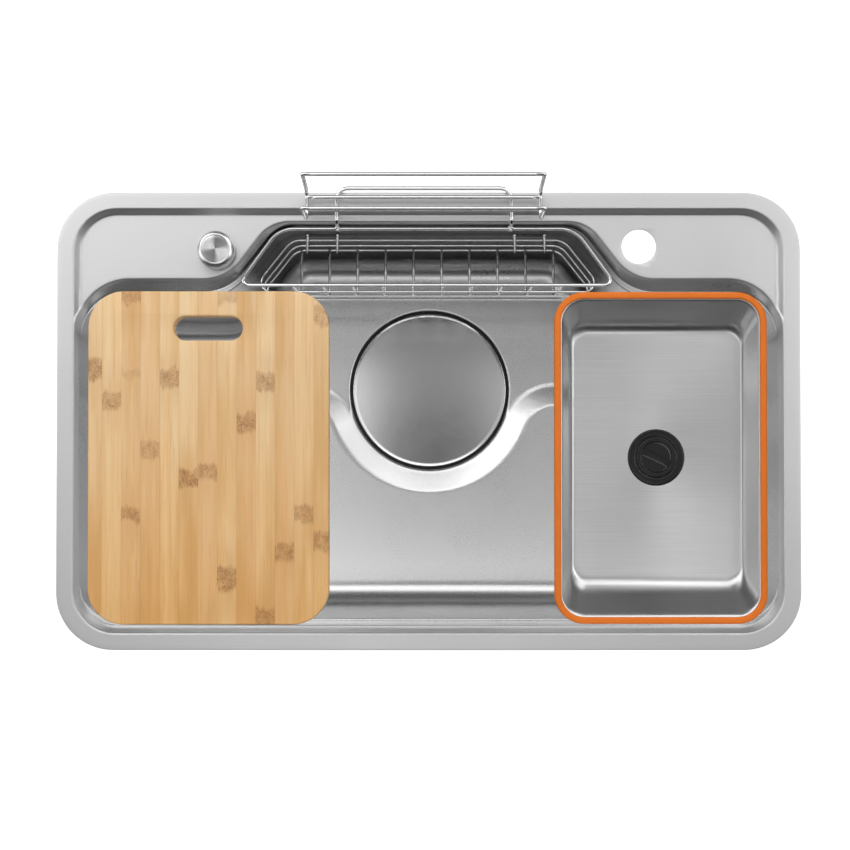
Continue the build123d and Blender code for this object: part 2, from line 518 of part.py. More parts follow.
in_w, in_d = pan_w - 2 * PAN_SEAL_W, pan_d - 2 * PAN_SEAL_W
flange = up(pan_face(pcx, pcy, pan_w - 4, pan_d - 4, PAN_R - 2, PAN_RIM_Z), PAN_T)
p_out = between(
    pan_face(fcx, fcy, fw + 2 * PAN_T, fd + 2 * PAN_T, 15 + PAN_T, pan_floor_z - PAN_T),
    pan_face(pcx, pcy, in_w + 2 * PAN_T, in_d + 2 * PAN_T, PAN_R - PAN_SEAL_W + PAN_T, PAN_RIM_Z),
)
p_in = between(
    pan_face(fcx, fcy, fw, fd, 15, pan_floor_z),
    pan_face(pcx, pcy, in_w, in_d, PAN_R - PAN_SEAL_W, PAN_RIM_Z + PAN_T),
)
pan = flange + p_out - p_in - cyl(PLUG_X, PLUG_Y, pan_floor_z - 5, pan_floor_z + 5, 24.0)
save("prep_pan", pan)

# soft rim: wraps the edge of the pan's flange
seal = up(pan_face(pcx, pcy, pan_w, pan_d, PAN_R, LEDGE_Z + 0.3), 3.0 + PAN_T + 2.7)
seal -= up(pan_face(pcx, pcy, in_w + 2.4, in_d + 2.4, PAN_R - PAN_SEAL_W + 1.2, LEDGE_Z - 5), 20)
seal -= up(pan_face(pcx, pcy, pan_w - 4, pan_d - 4, PAN_R - 2, PAN_RIM_Z), PAN_T)
save("pan_rim_seal", seal)

P = (PLUG_X, PLUG_Y)
pfz = pan_floor_z
wf = ring(*P, pfz, pfz + 2.2, 31.0, 22.6) + ring(*P, pfz - 16, pfz, 23.8, 20.4)
save("pan_waste_flange", wf)
save("pan_waste_gasket", ring(*P, pfz - PAN_T - 1.6, pfz - PAN_T, 30.0, 23.9))
pnut = ring(*P, pfz - PAN_T - 9.0, pfz - PAN_T - 1.6, 30.0, 23.9)
for i in range(10):
    pnut -= Pos(*P, 0) * Rot(0, 0, 36 * i) * cyl(31.5, 0, pfz - 20, pfz, 2.5)
save("pan_waste_nut", pnut)

# plug: disc with two finger pockets either side of a grip bar
plug = cyl(*P, pfz + 0.3, pfz + 5.0, 22.3) + cyl(*P, pfz - 10.0, pfz + 0.3, 17.6)
pocket = cyl(0, 0, pfz + 1.4, pfz + 8.0, 16.4) - box(-3.6, 3.6, -40, 40, pfz - 5, pfz + 10)
pocket = Pos(*P, 0) * Rot(0, 0, -25.0 + 90.0) * pocket
plug -= pocket
save("pan_plug", plug)
save("plug_seal", ring(*P, pfz - 8.0, pfz - 4.0, 20.0, 17.6))
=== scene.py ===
import json
import math

import bmesh
import bpy
import numpy as np
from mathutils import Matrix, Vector


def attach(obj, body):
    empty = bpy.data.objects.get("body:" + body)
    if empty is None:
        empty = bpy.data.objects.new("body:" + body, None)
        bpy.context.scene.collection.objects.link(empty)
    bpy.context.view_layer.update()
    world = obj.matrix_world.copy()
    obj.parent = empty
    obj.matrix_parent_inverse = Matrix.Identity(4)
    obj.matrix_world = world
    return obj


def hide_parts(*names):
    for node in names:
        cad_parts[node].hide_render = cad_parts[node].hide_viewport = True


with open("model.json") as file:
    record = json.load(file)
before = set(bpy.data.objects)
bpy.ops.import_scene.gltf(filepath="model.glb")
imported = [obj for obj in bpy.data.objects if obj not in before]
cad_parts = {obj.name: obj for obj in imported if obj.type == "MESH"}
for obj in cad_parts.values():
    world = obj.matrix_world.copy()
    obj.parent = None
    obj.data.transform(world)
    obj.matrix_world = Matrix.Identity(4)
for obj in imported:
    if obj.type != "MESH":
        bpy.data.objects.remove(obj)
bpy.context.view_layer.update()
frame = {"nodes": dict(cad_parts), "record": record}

NODES = frame["nodes"]
SCENE = bpy.context.scene
MM = 0.001
PI = math.pi

# ---------------------------------------------------------------------------
# Drop-in stainless sink: dimensions in millimetres, in the shared frame.
# ---------------------------------------------------------------------------
SHEET = 1.0
RIM_W, RIM_D, RIM_R, RIM_TOP = 390.0, 240.0, 60.0, 2.5
DECK_Z, LEDGE_Z, PLATFORM_Z, FLOOR_Z = -5.0, -20.0, -190.0, -203.0
LOBE_X, LOBE_Y, LOBE_R = 238.7, 199.4, 50.0
RECESS_X, RECESS_Y, RECESS_R = 147.1, 169.5, 40.7
KEYS = ("a", "yf", "yflat", "es", "yb", "r1", "r2", "rf", "rb")
S_OPEN = dict(zip(KEYS, (371.8, 221.8, 149.4, 0.0, 210.2, 50.0, 40.7, 44.0, 56.0)))
S_LEDGE_OUT = dict(zip(KEYS, (371.2, 215.8, 139.4, 6.5, 209.2, 55.0, 37.0, 40.0, 48.0)))
S_LEDGE_IN = dict(zip(KEYS, (371.2, 208.8, 131.9, 11.5, 207.6, 58.0, 34.0, 36.0, 42.0)))
S_FLOOR = dict(zip(KEYS, (367.2, 204.8, 127.9, 13.0, 205.0, 61.0, 32.0, 32.0, 38.0)))
TAP = (222.0, 184.4, 18.0)
KNOB = (-222.6, 178.4)
DRAIN = (1.5, 50.0)
DRAIN_RECESS_R, DRAIN_HOLE_R, DRAIN_RECESS_Z = 96.0, 87.0, -209.0
COVER_R = 92.5
STEP_EDGE_R, STEP_EDGE_Y, STEP_REVERSE_R, STEP_RUN = 123.5, 31.0, 40.0, 26.0
STEP_SLOPE, PLATFORM_FALL, LOW_FALL = 0.41, 0.012, 0.018
COVER_DOME = 0.8
BASKET_X = -1.0
RACK_X0, RACK_X1 = -127.5, 116.8
PLUG = (248.5, -36.8)


# ---------------------------------------------------------------- mesh helpers
def face_outward(me):
    """Turns the faces of every closed shell outwards."""
    bm = bmesh.new()
    bm.from_mesh(me)
    bmesh.ops.recalc_face_normals(bm, faces=bm.faces[:])
    bm.to_mesh(me)
    bm.free()


def add_object(name, verts, faces, sharp=40.0):
    me = bpy.data.meshes.new(name)
    me.from_pydata([(v[0] * MM, v[1] * MM, v[2] * MM) for v in verts], [], [tuple(int(i) for i in f) for f in faces])
    me.update()
    face_outward(me)
    me.shade_smooth()
    if sharp:
        me.set_sharp_from_angle(angle=math.radians(sharp))
    ob = bpy.data.objects.new(name, me)
    SCENE.collection.objects.link(ob)
    return ob


def finish_piece(ob, body, material, nodes=()):
    face_outward(ob.data)
    ob.data.materials.clear()
    ob.data.materials.append(material)
    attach(ob, body)
    if nodes:
        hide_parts(*nodes)
    return ob


def grid_faces(rows, n, closed=True, start=0, flip=False):
    """Quads between successive rows of n points each."""
    out = []
    m = n if closed else n - 1
    for r in range(rows - 1):
        for i in range(m):
            j = (i + 1) % n
            a, b = start + r * n + i, start + r * n + j
            c, d = start + (r + 1) * n + j, start + (r + 1) * n + i
            out.append((d, c, b, a) if flip else (a, b, c, d))
    return out


class Build:
    """Collects verts and faces of one mesh."""

    def __init__(self):
        self.v, self.f = [], []

    def rows(self, rows, closed=True, flip=False, wrap=False):
        """Grid from a list of rows of equal length."""
        start, n = len(self.v), len(rows[0])
        for r in rows:
            self.v.extend(tuple(p) for p in r)
        self.f += grid_faces(len(rows), n, closed, start, flip)
        if wrap:
            last = start + (len(rows) - 1) * n
            m = n if closed else n - 1
            for i in range(m):
                j = (i + 1) % n
                a, b, c, d = last + i, last + j, start + j, start + i
                self.f.append((d, c, b, a) if flip else (a, b, c, d))
        return start

    def cap(self, start, n, flip=False):
        idx = list(range(start, start + n))
        self.f.append(tuple(reversed(idx)) if flip else tuple(idx))


def arc(cx, cy, r, a0, a1, n, ends=True):
    t = np.linspace(a0, a1, n) if ends else np.linspace(a0, a1, n + 1)[:-1]
    return np.stack([cx + r * np.cos(t), cy + r * np.sin(t)], 1)


def line(p, q, n):
    t = np.linspace(0, 1, n)[:, None]
    return np.asarray(p)[None, :] * (1 - t) + np.asarray(q)[None, :] * t


def rounded_rect(x0, x1, y0, y1, r, per_corner=12, per_side=(10, 14)):
    """Closed outline, anticlockwise from the middle of the right side; no repeated points."""
    pts = []
    corners = [(x1 - r, y1 - r, 0.0), (x0 + r, y1 - r, PI / 2), (x0 + r, y0 + r, PI), (x1 - r, y0 + r, 1.5 * PI)]
    for k, (cx, cy, a0) in enumerate(corners):
        a = arc(cx, cy, r, a0, a0 + PI / 2, per_corner)
        nx, ny, na = corners[(k + 1) % 4]
        b = np.array([nx + r * math.cos(na), ny + r * math.sin(na)])
        side = per_side[0] if k in (0, 2) else per_side[1]
        pts.append(a)
        pts.append(line(a[-1], b, side + 2)[1:-1])
    return np.concatenate(pts)


def path_fillet(points, radii, seg=8):
    """Polyline with its inner corners turned into arcs."""
    pts = [np.asarray(p, float) for p in points]
    out = [pts[0]]
    if np.isscalar(radii):
        radii = [radii] * (len(pts) - 2)
    for k in range(1, len(pts) - 1):
        p, a, b, r = pts[k], pts[k - 1], pts[k + 1], radii[k - 1]
        u, w = (a - p) / np.linalg.norm(a - p), (b - p) / np.linalg.norm(b - p)
        half = math.acos(max(-1, min(1, float(u @ w)))) / 2
        d = r / math.tan(half)
        bis = (u + w) / np.linalg.norm(u + w)
        c = p + bis * (r / math.sin(half))
        s, e = p + u * d, p + w * d
        e1 = (s - c) / r
        nrm = np.cross(e1, (e - c) / r)
        nrm /= np.linalg.norm(nrm)
        e2 = np.cross(nrm, e1)
        total = PI - 2 * half
        for i in range(seg + 1):
            t = total * i / seg
            out.append(c + r * (e1 * math.cos(t) + e2 * math.sin(t)))
    out.append(pts[-1])
    return np.array(out)


def loop_fillet(points, radii, z, seg=10):
    """Closed flat outline with rounded corners at height z."""
    n = len(points)
    out = []
    for k in range(n):
        p = np.array(points[k], float)
        a, b = np.array(points[k - 1], float), np.array(points[(k + 1) % n], float)
        u, w = (a - p) / np.linalg.norm(a - p), (b - p) / np.linalg.norm(b - p)
        half = math.acos(float(u @ w)) / 2
        r = radii[k]
        d = r / math.tan(half)
        c = p + (u + w) / np.linalg.norm(u + w) * (r / math.sin(half))
        s, e = p + u * d, p + w * d
        a0, a1 = math.atan2(*(s - c)[::-1]), math.atan2(*(e - c)[::-1])
        while a1 - a0 > PI:
            a1 -= 2 * PI
        while a1 - a0 < -PI:
            a1 += 2 * PI
        for t in np.linspace(a0, a1, seg + 1):
            out.append((c[0] + r * math.cos(t), c[1] + r * math.sin(t), z))
    return np.array(out)


def subdivide(path, step, closed=False):
    """Adds points on long runs so that a tube's quads stay short."""
    pts = list(path) + ([path[0]] if closed else [])
    out = []
    for p, q in zip(pts[:-1], pts[1:]):
        n = max(1, int(math.ceil(np.linalg.norm(q - p) / step)))
        for i in range(n):
            out.append(p + (q - p) * i / n)
    if not closed:
        out.append(pts[-1])
    return np.array(out)


def tube(build, path, r, closed=False, seg=16, round_ends=True):
    """Round wire along a path, with domed ends."""
    p = np.asarray(path, float)
    n = len(p)
    if closed:
        tan = np.roll(p, -1, 0) - np.roll(p, 1, 0)
    else:
        tan = np.gradient(p, axis=0)
    tan /= np.linalg.norm(tan, axis=1)[:, None]
    ref = np.array([0, 0, 1.0]) if abs(tan[0][2]) < 0.9 else np.array([1.0, 0, 0])
    u = np.cross(tan[0], ref)
    u /= np.linalg.norm(u)
    frames = []
    for k in range(n):
        u = u - tan[k] * (u @ tan[k])
        u /= np.linalg.norm(u)
        frames.append((u.copy(), np.cross(tan[k], u)))
    ang = np.linspace(0, 2 * PI, seg + 1)[:-1]

    def ring(c, f, rad):
        return [c + rad * (math.cos(t) * f[0] + math.sin(t) * f[1]) for t in ang]

    rows = []
    if not closed and round_ends:
        for s in (0.0, 0.35, 0.7):
            t = s * PI / 2
            rows.append(ring(p[0] - tan[0] * r * 0.6 * (math.cos(t)), frames[0], max(0.12, math.sin(t)) * r))
    for k in range(n):
        rows.append(ring(p[k], frames[k], r))
    if not closed and round_ends:
        for s in (0.7, 0.35, 0.0):
            t = s * PI / 2
            rows.append(ring(p[-1] + tan[-1] * r * 0.6 * math.cos(t), frames[-1], max(0.12, math.sin(t)) * r))
    start = build.rows(rows, True, flip=False, wrap=closed)
    if not closed:
        build.cap(start, seg, flip=True)
        build.cap(start + (len(rows) - 1) * seg, seg, flip=False)


def lathe(build, cx, cy, profile, seg=96, close=True):
    """Turned solid from an (r, z) profile run round a vertical axis; a closed profile makes a ring."""
    ang = np.linspace(0, 2 * PI, seg + 1)[:-1]
    rows = [[(cx + r * math.cos(t), cy + r * math.sin(t), z) for t in ang] for r, z in profile]
    return build.rows(rows, True, flip=True, wrap=close)


# ---------------------------------------------------------------- sink skin
_d = math.hypot(LOBE_X - RECESS_X, LOBE_Y - RECESS_Y)
_slope = math.atan2(LOBE_Y - RECESS_Y, LOBE_X - RECESS_X) - math.asin((LOBE_R + RECESS_R) / _d)
DIR = (math.cos(_slope), math.sin(_slope))
NRM = (math.sin(_slope), -math.cos(_slope))
COUNTS = (26, 14, 10, 18, 16, 26, 84, 20, 36)  # points on each run of the right half


def outline(s, grow=0.0):
    """Right half of a section outline from the back centre to the front centre, as matched points."""
    g = grow
    a, yf, yflat, es, yb = s["a"] + g, s["yf"] + g, s["yflat"] + g, s["es"] - g, s["yb"] + g
    r1, r2, rf, rb = s["r1"] - g, s["r2"] + g, s["rf"] + g, s["rb"] + g
    k1, c1y = LOBE_R + es - r1, yflat + r1
    t1 = (c1y - LOBE_Y - k1 * NRM[1]) / DIR[1]
    c1x = LOBE_X + k1 * NRM[0] + t1 * DIR[0]
    k2, c2y = LOBE_R + es + r2, yb - r2
    t2 = (c2y - LOBE_Y - k2 * NRM[1]) / DIR[1]
    c2x = LOBE_X + k2 * NRM[0] + t2 * DIR[0]
    out = math.atan2(-NRM[1], -NRM[0])
    inn = math.atan2(NRM[1], NRM[0])
    if inn > 0:
        inn -= 2 * PI
    h = PI / 2
    n = COUNTS
    a2 = arc(c2x, c2y, r2, h, out, n[1] + 1)
    a1 = arc(c1x, c1y, r1, inn, -h - 0.0, n[3] + 1) if inn > -h else arc(c1x, c1y, r1, inn, -h, n[3] + 1)
    cb = arc(a - rb, yflat - rb, rb, h, 0.0, n[5] + 1)
    cf = arc(a - rf, -yf + rf, rf, 0.0, -h, n[7] + 1)
    runs = [
        line((0.0, yb), a2[0], n[0] + 1), a2, line(a2[-1], a1[0], n[2] + 1), a1, line(a1[-1], cb[0], n[4] + 1), cb,
        line(cb[-1], cf[0], n[6] + 1), cf, line(cf[-1], (0.0, -yf), n[8] + 1),
    ]
    pts = [r[:-1] for r in runs] + [runs[-1][-1:]]
    return np.concatenate(pts)


def mirror(half):
    """Closed outline from its right half."""
    left = half[::-1][1:-1] * np.array([-1.0, 1.0])
    return np.concatenate([half, left])


def mix(s0, s1, w):
    return {k: s0[k] * (1 - w) + s1[k] * w for k in KEYS}


OPEN_HALF = outline(S_OPEN)
N_HALF = len(OPEN_HALF)


def rim_half(d):
    """Right half of the rim's rounded rectangle at inset d (an array), matched with the opening's points."""
    d = np.broadcast_to(np.asarray(d, float), (N_HALF,))
    r = np.where(d < 17, RIM_R - d * 15 / 17, 45 - (d - 17))
    hx, hy = RIM_W - d, RIM_D - d
    cx, cy = hx - r, hy - r
    out = np.zeros((N_HALF, 2))
    ends = np.cumsum((0,) + COUNTS)
    flat_end = S_OPEN["a"] - S_OPEN["rb"]
    for i in range(N_HALF):
        x, y = OPEN_HALF[i]
        if i < ends[5]:
            out[i] = (x / flat_end * cx[i], hy[i])
        elif i < ends[6]:
            f = (i - ends[5]) / COUNTS[5]
            la, ls = PI / 2 * r[i], cy[i] - (S_OPEN["yflat"] - S_OPEN["rb"])
            s = f * (la + ls)
            if s < la:
                t = PI / 2 - s / r[i]
                out[i] = (cx[i] + r[i] * math.cos(t), cy[i] + r[i] * math.sin(t))
            else:
                out[i] = (hx[i], cy[i] - (s - la))
        elif i < ends[7]:
            f = (i - ends[6]) / COUNTS[6]
            y0 = S_OPEN["yflat"] - S_OPEN["rb"]
            out[i] = (hx[i], y0 * (1 - f) - cy[i] * f)
        elif i < ends[8]:
            t = -(i - ends[7]) / COUNTS[7] * PI / 2
            out[i] = (cx[i] + r[i] * math.cos(t), -cy[i] + r[i] * math.sin(t))
        else:
            f = (i - ends[8]) / COUNTS[8]
            out[i] = (cx[i] * (1 - f), -hy[i])
    return out


def inset_of(p):
    """How far inside the rim's outer edge each point is."""
    x, y = np.abs(p[:, 0]), p[:, 1]
    q = np.abs(y)
    ex, ey = np.maximum(x - (RIM_W - RIM_R), 0), np.maximum(q - (RIM_D - RIM_R), 0)
    corner = RIM_R - np.hypot(ex, ey)
    plain = np.minimum(RIM_W - x, RIM_D - q)
    return np.where((ex > 0) & (ey > 0), corner, plain)


def ramp(w, b):
    """0 before the corner, w after it, with a rounded corner of half width b."""
    return np.where(w <= -b, 0.0, np.where(w >= b, w, (w + b) ** 2 / (4 * b)))


def step_z(d):
    """Height of the rim, the pressed step and the deck at inset d."""
    k = (RIM_TOP - DECK_Z) / 5.0
    return RIM_TOP - k * (ramp(d - 17.0, 1.2) - ramp(d - 22.0, 1.4))


def floor_w(x, y):
    """Signed distance past the platform's edge, towards the drain."""
    u, v = np.abs(x - DRAIN[0]), y - DRAIN[1]
    cy = STEP_EDGE_Y - STEP_REVERSE_R - DRAIN[1]
    dx = math.sqrt((STEP_EDGE_R + STEP_REVERSE_R) ** 2 - cy ** 2)
    main = STEP_EDGE_R - np.hypot(u, v)
    rev = np.hypot(u - dx, v - cy) - STEP_REVERSE_R
    straight = y - STEP_EDGE_Y
    below = dx * v - cy * u < 0
    return np.where(u >= dx, straight, np.where(below, main, rev))


def floor_z(x, y):
    """Floor height: both levels fall a little towards the drain, with the sloped step between them."""
    w = floor_w(x, y)
    drop = STEP_SLOPE * (ramp(w, 2.2) - ramp(w - STEP_RUN, 4.0))
    past = np.clip(w / STEP_RUN, 0, 1)
    far = np.hypot(x - DRAIN[0], y - DRAIN[1])
    out = np.maximum(far - DRAIN_RECESS_R - 2.2, 0)
    # distance back from the step on the upper level, blended between its round and its straight run
    p, q, k = far - STEP_EDGE_R, STEP_EDGE_Y - y, 60.0
    h = np.clip(0.5 + 0.5 * (q - p) / k, 0, 1)
    back = q * (1 - h) + p * h - k * h * (1 - h)
    return FLOOR_Z + STEP_SLOPE * STEP_RUN - drop + PLATFORM_FALL * ramp(back, 6.0) + LOW_FALL * past * out


def make_skin():
    rows = []  # each (half outline xy, z array)
    zf = np.full(N_HALF, 0.0)
    for d, z in ((0.0, 0.3), (0.0, 1.95), (0.05, 2.2), (0.18, 2.38), (0.38, 2.47), (0.65, 2.5)):
        rows.append((rim_half(d), zf + z))
    d_c = inset_of(OPEN_HALF)
    grow = 2.6
    wanted = (5.0, 10.0, 14.0, 15.4, 15.8, 16.2, 16.6, 17.0, 17.4, 17.8, 18.3, 19.4, 20.4, 20.9, 21.4, 21.8, 22.2, 22.7, 23.2, 24.0, 26.0)
    ends = np.cumsum((0,) + COUNTS)
    spare = np.zeros(N_HALF)  # room left for the front corners, where the two outlines part
    spare[ends[7] - 8:ends[8] + 8] = 1.1
    spare = np.convolve(np.pad(spare, 4, mode="edge"), np.ones(9) / 9, "valid")
    for k, d in enumerate(wanted):
        dd = np.minimum(d, d_c - grow - spare - 0.05 * (len(wanted) - k))
        rows.append((rim_half(dd), step_z(dd)))
    last = rows[-1]
    edge = outline(S_OPEN, grow)
    z_edge = step_z(inset_of(edge))
    for f in (0.06, 0.16, 0.3, 0.45, 0.6, 0.74, 0.86, 0.95):
        rows.append((last[0] * (1 - f) + edge * f, np.minimum(last[1] * (1 - f) + z_edge * f, RIM_TOP)))
    for g in (2.6, 2.0, 1.4, 0.9, 0.45, 0.15, 0.0):
        rows.append((outline(S_OPEN, g), z_edge - (grow - math.sqrt(grow ** 2 - (grow - g) ** 2))))
    z_top = z_edge - grow
    # sloped wall to the ledge, its hollow corner, the ledge and its rounded edge
    for w, q in ((0.12, 0.12), (0.3, 0.3), (0.5, 0.5), (0.7, 0.7), (0.84, 0.85), (0.92, 0.93), (0.975, 0.975)):
        rows.append((outline(mix(S_OPEN, S_LEDGE_OUT, w)), z_top * (1 - q) + LEDGE_Z * q))
    for e, z in ((0.06, -19.95), (0.2, -20.05), (0.4, -20.1), (0.6, -20.15), (0.74, -20.25), (0.85, -20.5), (0.93, -20.95), (0.98, -21.5), (1.0, -22.2)):
        rows.append((outline(mix(S_LEDGE_OUT, S_LEDGE_IN, e)), zf + z))
    # bowl wall down to the fillet at its foot
    foot_r = 25.0
    foot = outline(S_FLOOR, -foot_r)
    z_foot = floor_z(foot[:, 0], foot[:, 1])
    z_end = z_foot + foot_r
    for q in (0.03, 0.08, 0.16, 0.26, 0.38, 0.5, 0.62, 0.74, 0.84, 0.92, 0.97):
        z = -22.2 * (1 - q) + z_end * q
        w = (z + 21.0) / (FLOOR_Z + 21.0)
        # each point's own height sets how far down the draft it is
        base, foot_o = outline(S_LEDGE_IN), outline(S_FLOOR)
        rows.append((base * (1 - w[:, None]) + foot_o * w[:, None], z))
    for a in np.linspace(0.0, 90.0, 13):
        t = math.radians(a)
        sec = outline(S_FLOOR, -foot_r * (1 - math.cos(t)))
        w = np.clip((z_end + 21.0) / (FLOOR_Z + 21.0), 0, 1)
        if a < 60:
            keep = (1 - w)[:, None] * (1 - a / 60.0)
            sec = sec + (outline(S_LEDGE_IN) - outline(S_FLOOR)) * keep
        rows.append((sec, z_end - foot_r * math.sin(t)))
    full = []
    for xy, z in rows:
        ring = mirror(xy)
        zz = np.concatenate([z, z[::-1][1:-1]])
        full.append(np.column_stack([ring, zz]))
    # floor: from the fillet's edge to the drain's rim
    outer = full[-1][:, :2]
    ang = np.unwrap(np.arctan2(outer[:, 1] - DRAIN[1], outer[:, 0] - DRAIN[0]))
    drain_edge = DRAIN_RECESS_R + 2.2
    inner = np.column_stack([DRAIN[0] + drain_edge * np.cos(ang), DRAIN[1] + drain_edge * np.sin(ang)])
    for f in np.linspace(0, 1, 112)[1:]:
        xy = outer * (1 - f) + inner * f
        full.append(np.column_stack([xy, floor_z(xy[:, 0], xy[:, 1])]))
    for r, z in ((97.4, -203.15), (96.7, -203.6), (96.2, -204.3), (96.0, -205.2), (96.0, -208.3), (95.6, -208.8), (94.8, -209.0), (91.0, -209.0), (87.6, -209.0), (87.0, -209.2)):
        xy = np.column_stack([DRAIN[0] + r * np.cos(ang), DRAIN[1] + r * np.sin(ang)])
        full.append(np.column_stack([xy, np.full(len(xy), z)]))
    top = np.array(full)  # rows x points x 3
    nr, npts = top.shape[:2]
    # outward side of the sheet, one sheet thickness along the normals
    du = np.roll(top, -1, 1) - np.roll(top, 1, 1)
    dv = np.gradient(top, axis=0)
    nrm = np.cross(dv, du)
    ln = np.linalg.norm(nrm, axis=2, keepdims=True)
    nrm = nrm / np.maximum(ln, 1e-9)
    nrm = np.where(nrm[:, :, 2:3] < -0.2, -nrm, nrm)
    for _ in range(2):
        nrm = nrm + 0.25 * (np.roll(nrm, 1, 1) + np.roll(nrm, -1, 1))
        nrm /= np.linalg.norm(nrm, axis=2, keepdims=True)
    # the sheet thins where the ledge is too narrow for its full thickness
    ledge = np.linalg.norm(mirror(outline(S_LEDGE_OUT)) - mirror(outline(S_LEDGE_IN)), axis=1)
    thick = np.full((nr, npts), SHEET)
    near = np.clip((top[:, :, 2] + 17.0) / -3.0, 0, 1) * np.clip((top[:, :, 2] + 30.0) / 6.0, 0, 1)
    thick += (np.clip(0.2 * ledge, 0.25, SHEET)[None, :] - SHEET) * near
    under = top - nrm * thick[:, :, None]
    for r, (d, z) in enumerate(((1.0, 0.3), (1.0, 0.7), (1.02, 1.05), (1.12, 1.28), (1.35, 1.45), (1.7, 1.5))):
        under[r] = np.column_stack([mirror(rim_half(d)), np.full(npts, z)])
    under[-1, :, 2] = -210.0
    b = Build()
    s_top = b.rows(list(top), True, flip=False)
    s_und = b.rows(list(under), True, flip=True)
    for i in range(npts):
        j = (i + 1) % npts
        b.f.append((s_top + j, s_top + i, s_und + i, s_und + j))
        lt, lu = s_top + (nr - 1) * npts, s_und + (nr - 1) * npts
        b.f.append((lt + i, lt + j, lu + j, lu + i))
    ob = add_object("sink_skin", b.v, b.f, sharp=None)
    return ob, top, nrm


def cut_holes(ob):
    """Tap hole and control hole through the flat deck, with a small rounded edge: the deck's quads round each hole
    are replaced by a collar that runs from the opened quads to the hole's circle."""
    from mathutils.geometry import tessellate_polygon
    bm = bmesh.new()
    bm.from_mesh(ob.data)
    seg = 72
    for (x, y), r in ((TAP[:2], TAP[2]), (KNOB, 14.5)):
        reach = (r + 6.0) * MM
        gone = []
        for f in bm.faces:
            c = f.calc_center_median()
            if abs(c.z - (DECK_Z - 0.5) * MM) < 2.0 * MM and math.hypot(c.x - x * MM, c.y - y * MM) < reach:
                gone.append(f)
        bmesh.ops.delete(bm, geom=gone, context="FACES")
        open_edges = [e for e in bm.edges if e.is_boundary]
        loops = []
        while open_edges:
            e = open_edges.pop()
            chain = [e.verts[0], e.verts[1]]
            while chain[-1] is not chain[0]:
                nxt = next(q for q in open_edges if chain[-1] in q.verts)
                open_edges.remove(nxt)
                chain.append(nxt.other_vert(chain[-1]))
            loops.append(chain[:-1])
        rings = []
        for chain in loops:
            upper = sum(v.co.z for v in chain) / len(chain) > (DECK_Z - 0.5) * MM
            z = DECK_Z if upper else DECK_Z - SHEET
            circle = [bm.verts.new(((x + (r + 0.35) * math.cos(t)) * MM, (y + (r + 0.35) * math.sin(t)) * MM, z * MM)) for t in np.linspace(0, 2 * PI, seg + 1)[:-1]]
            both = chain + circle
            for t in tessellate_polygon([[v.co.copy() for v in chain], [v.co.copy() for v in circle]]):
                a, b_, c = (both[i] for i in t)
                ccw = (b_.co.x - a.co.x) * (c.co.y - a.co.y) - (b_.co.y - a.co.y) * (c.co.x - a.co.x) > 0
                bm.faces.new((a, b_, c) if ccw == upper else (c, b_, a))
            rings.append((upper, circle))
        (_, low), (_, high) = sorted(rings, key=lambda q: q[0])
        wall = [high]
        for g, z in ((0.1, -0.1), (0.0, -0.35), (0.0, -0.65), (0.1, -0.9)):
            wall.append([bm.verts.new(((x + (r + g) * math.cos(t)) * MM, (y + (r + g) * math.sin(t)) * MM, (DECK_Z + z) * MM)) for t in np.linspace(0, 2 * PI, seg + 1)[:-1]])
        wall.append(low)
        for p, q in zip(wall[:-1], wall[1:]):
            for i in range(seg):
                j = (i + 1) % seg
                bm.faces.new((p[j], p[i], q[i], q[j]))
    bmesh.ops.recalc_face_normals(bm, faces=bm.faces[:])
    bm.normal_update()
    bm.to_mesh(ob.data)
    bm.free()
    ob.data.shade_smooth()
    ob.data.set_sharp_from_angle(angle=math.radians(38))


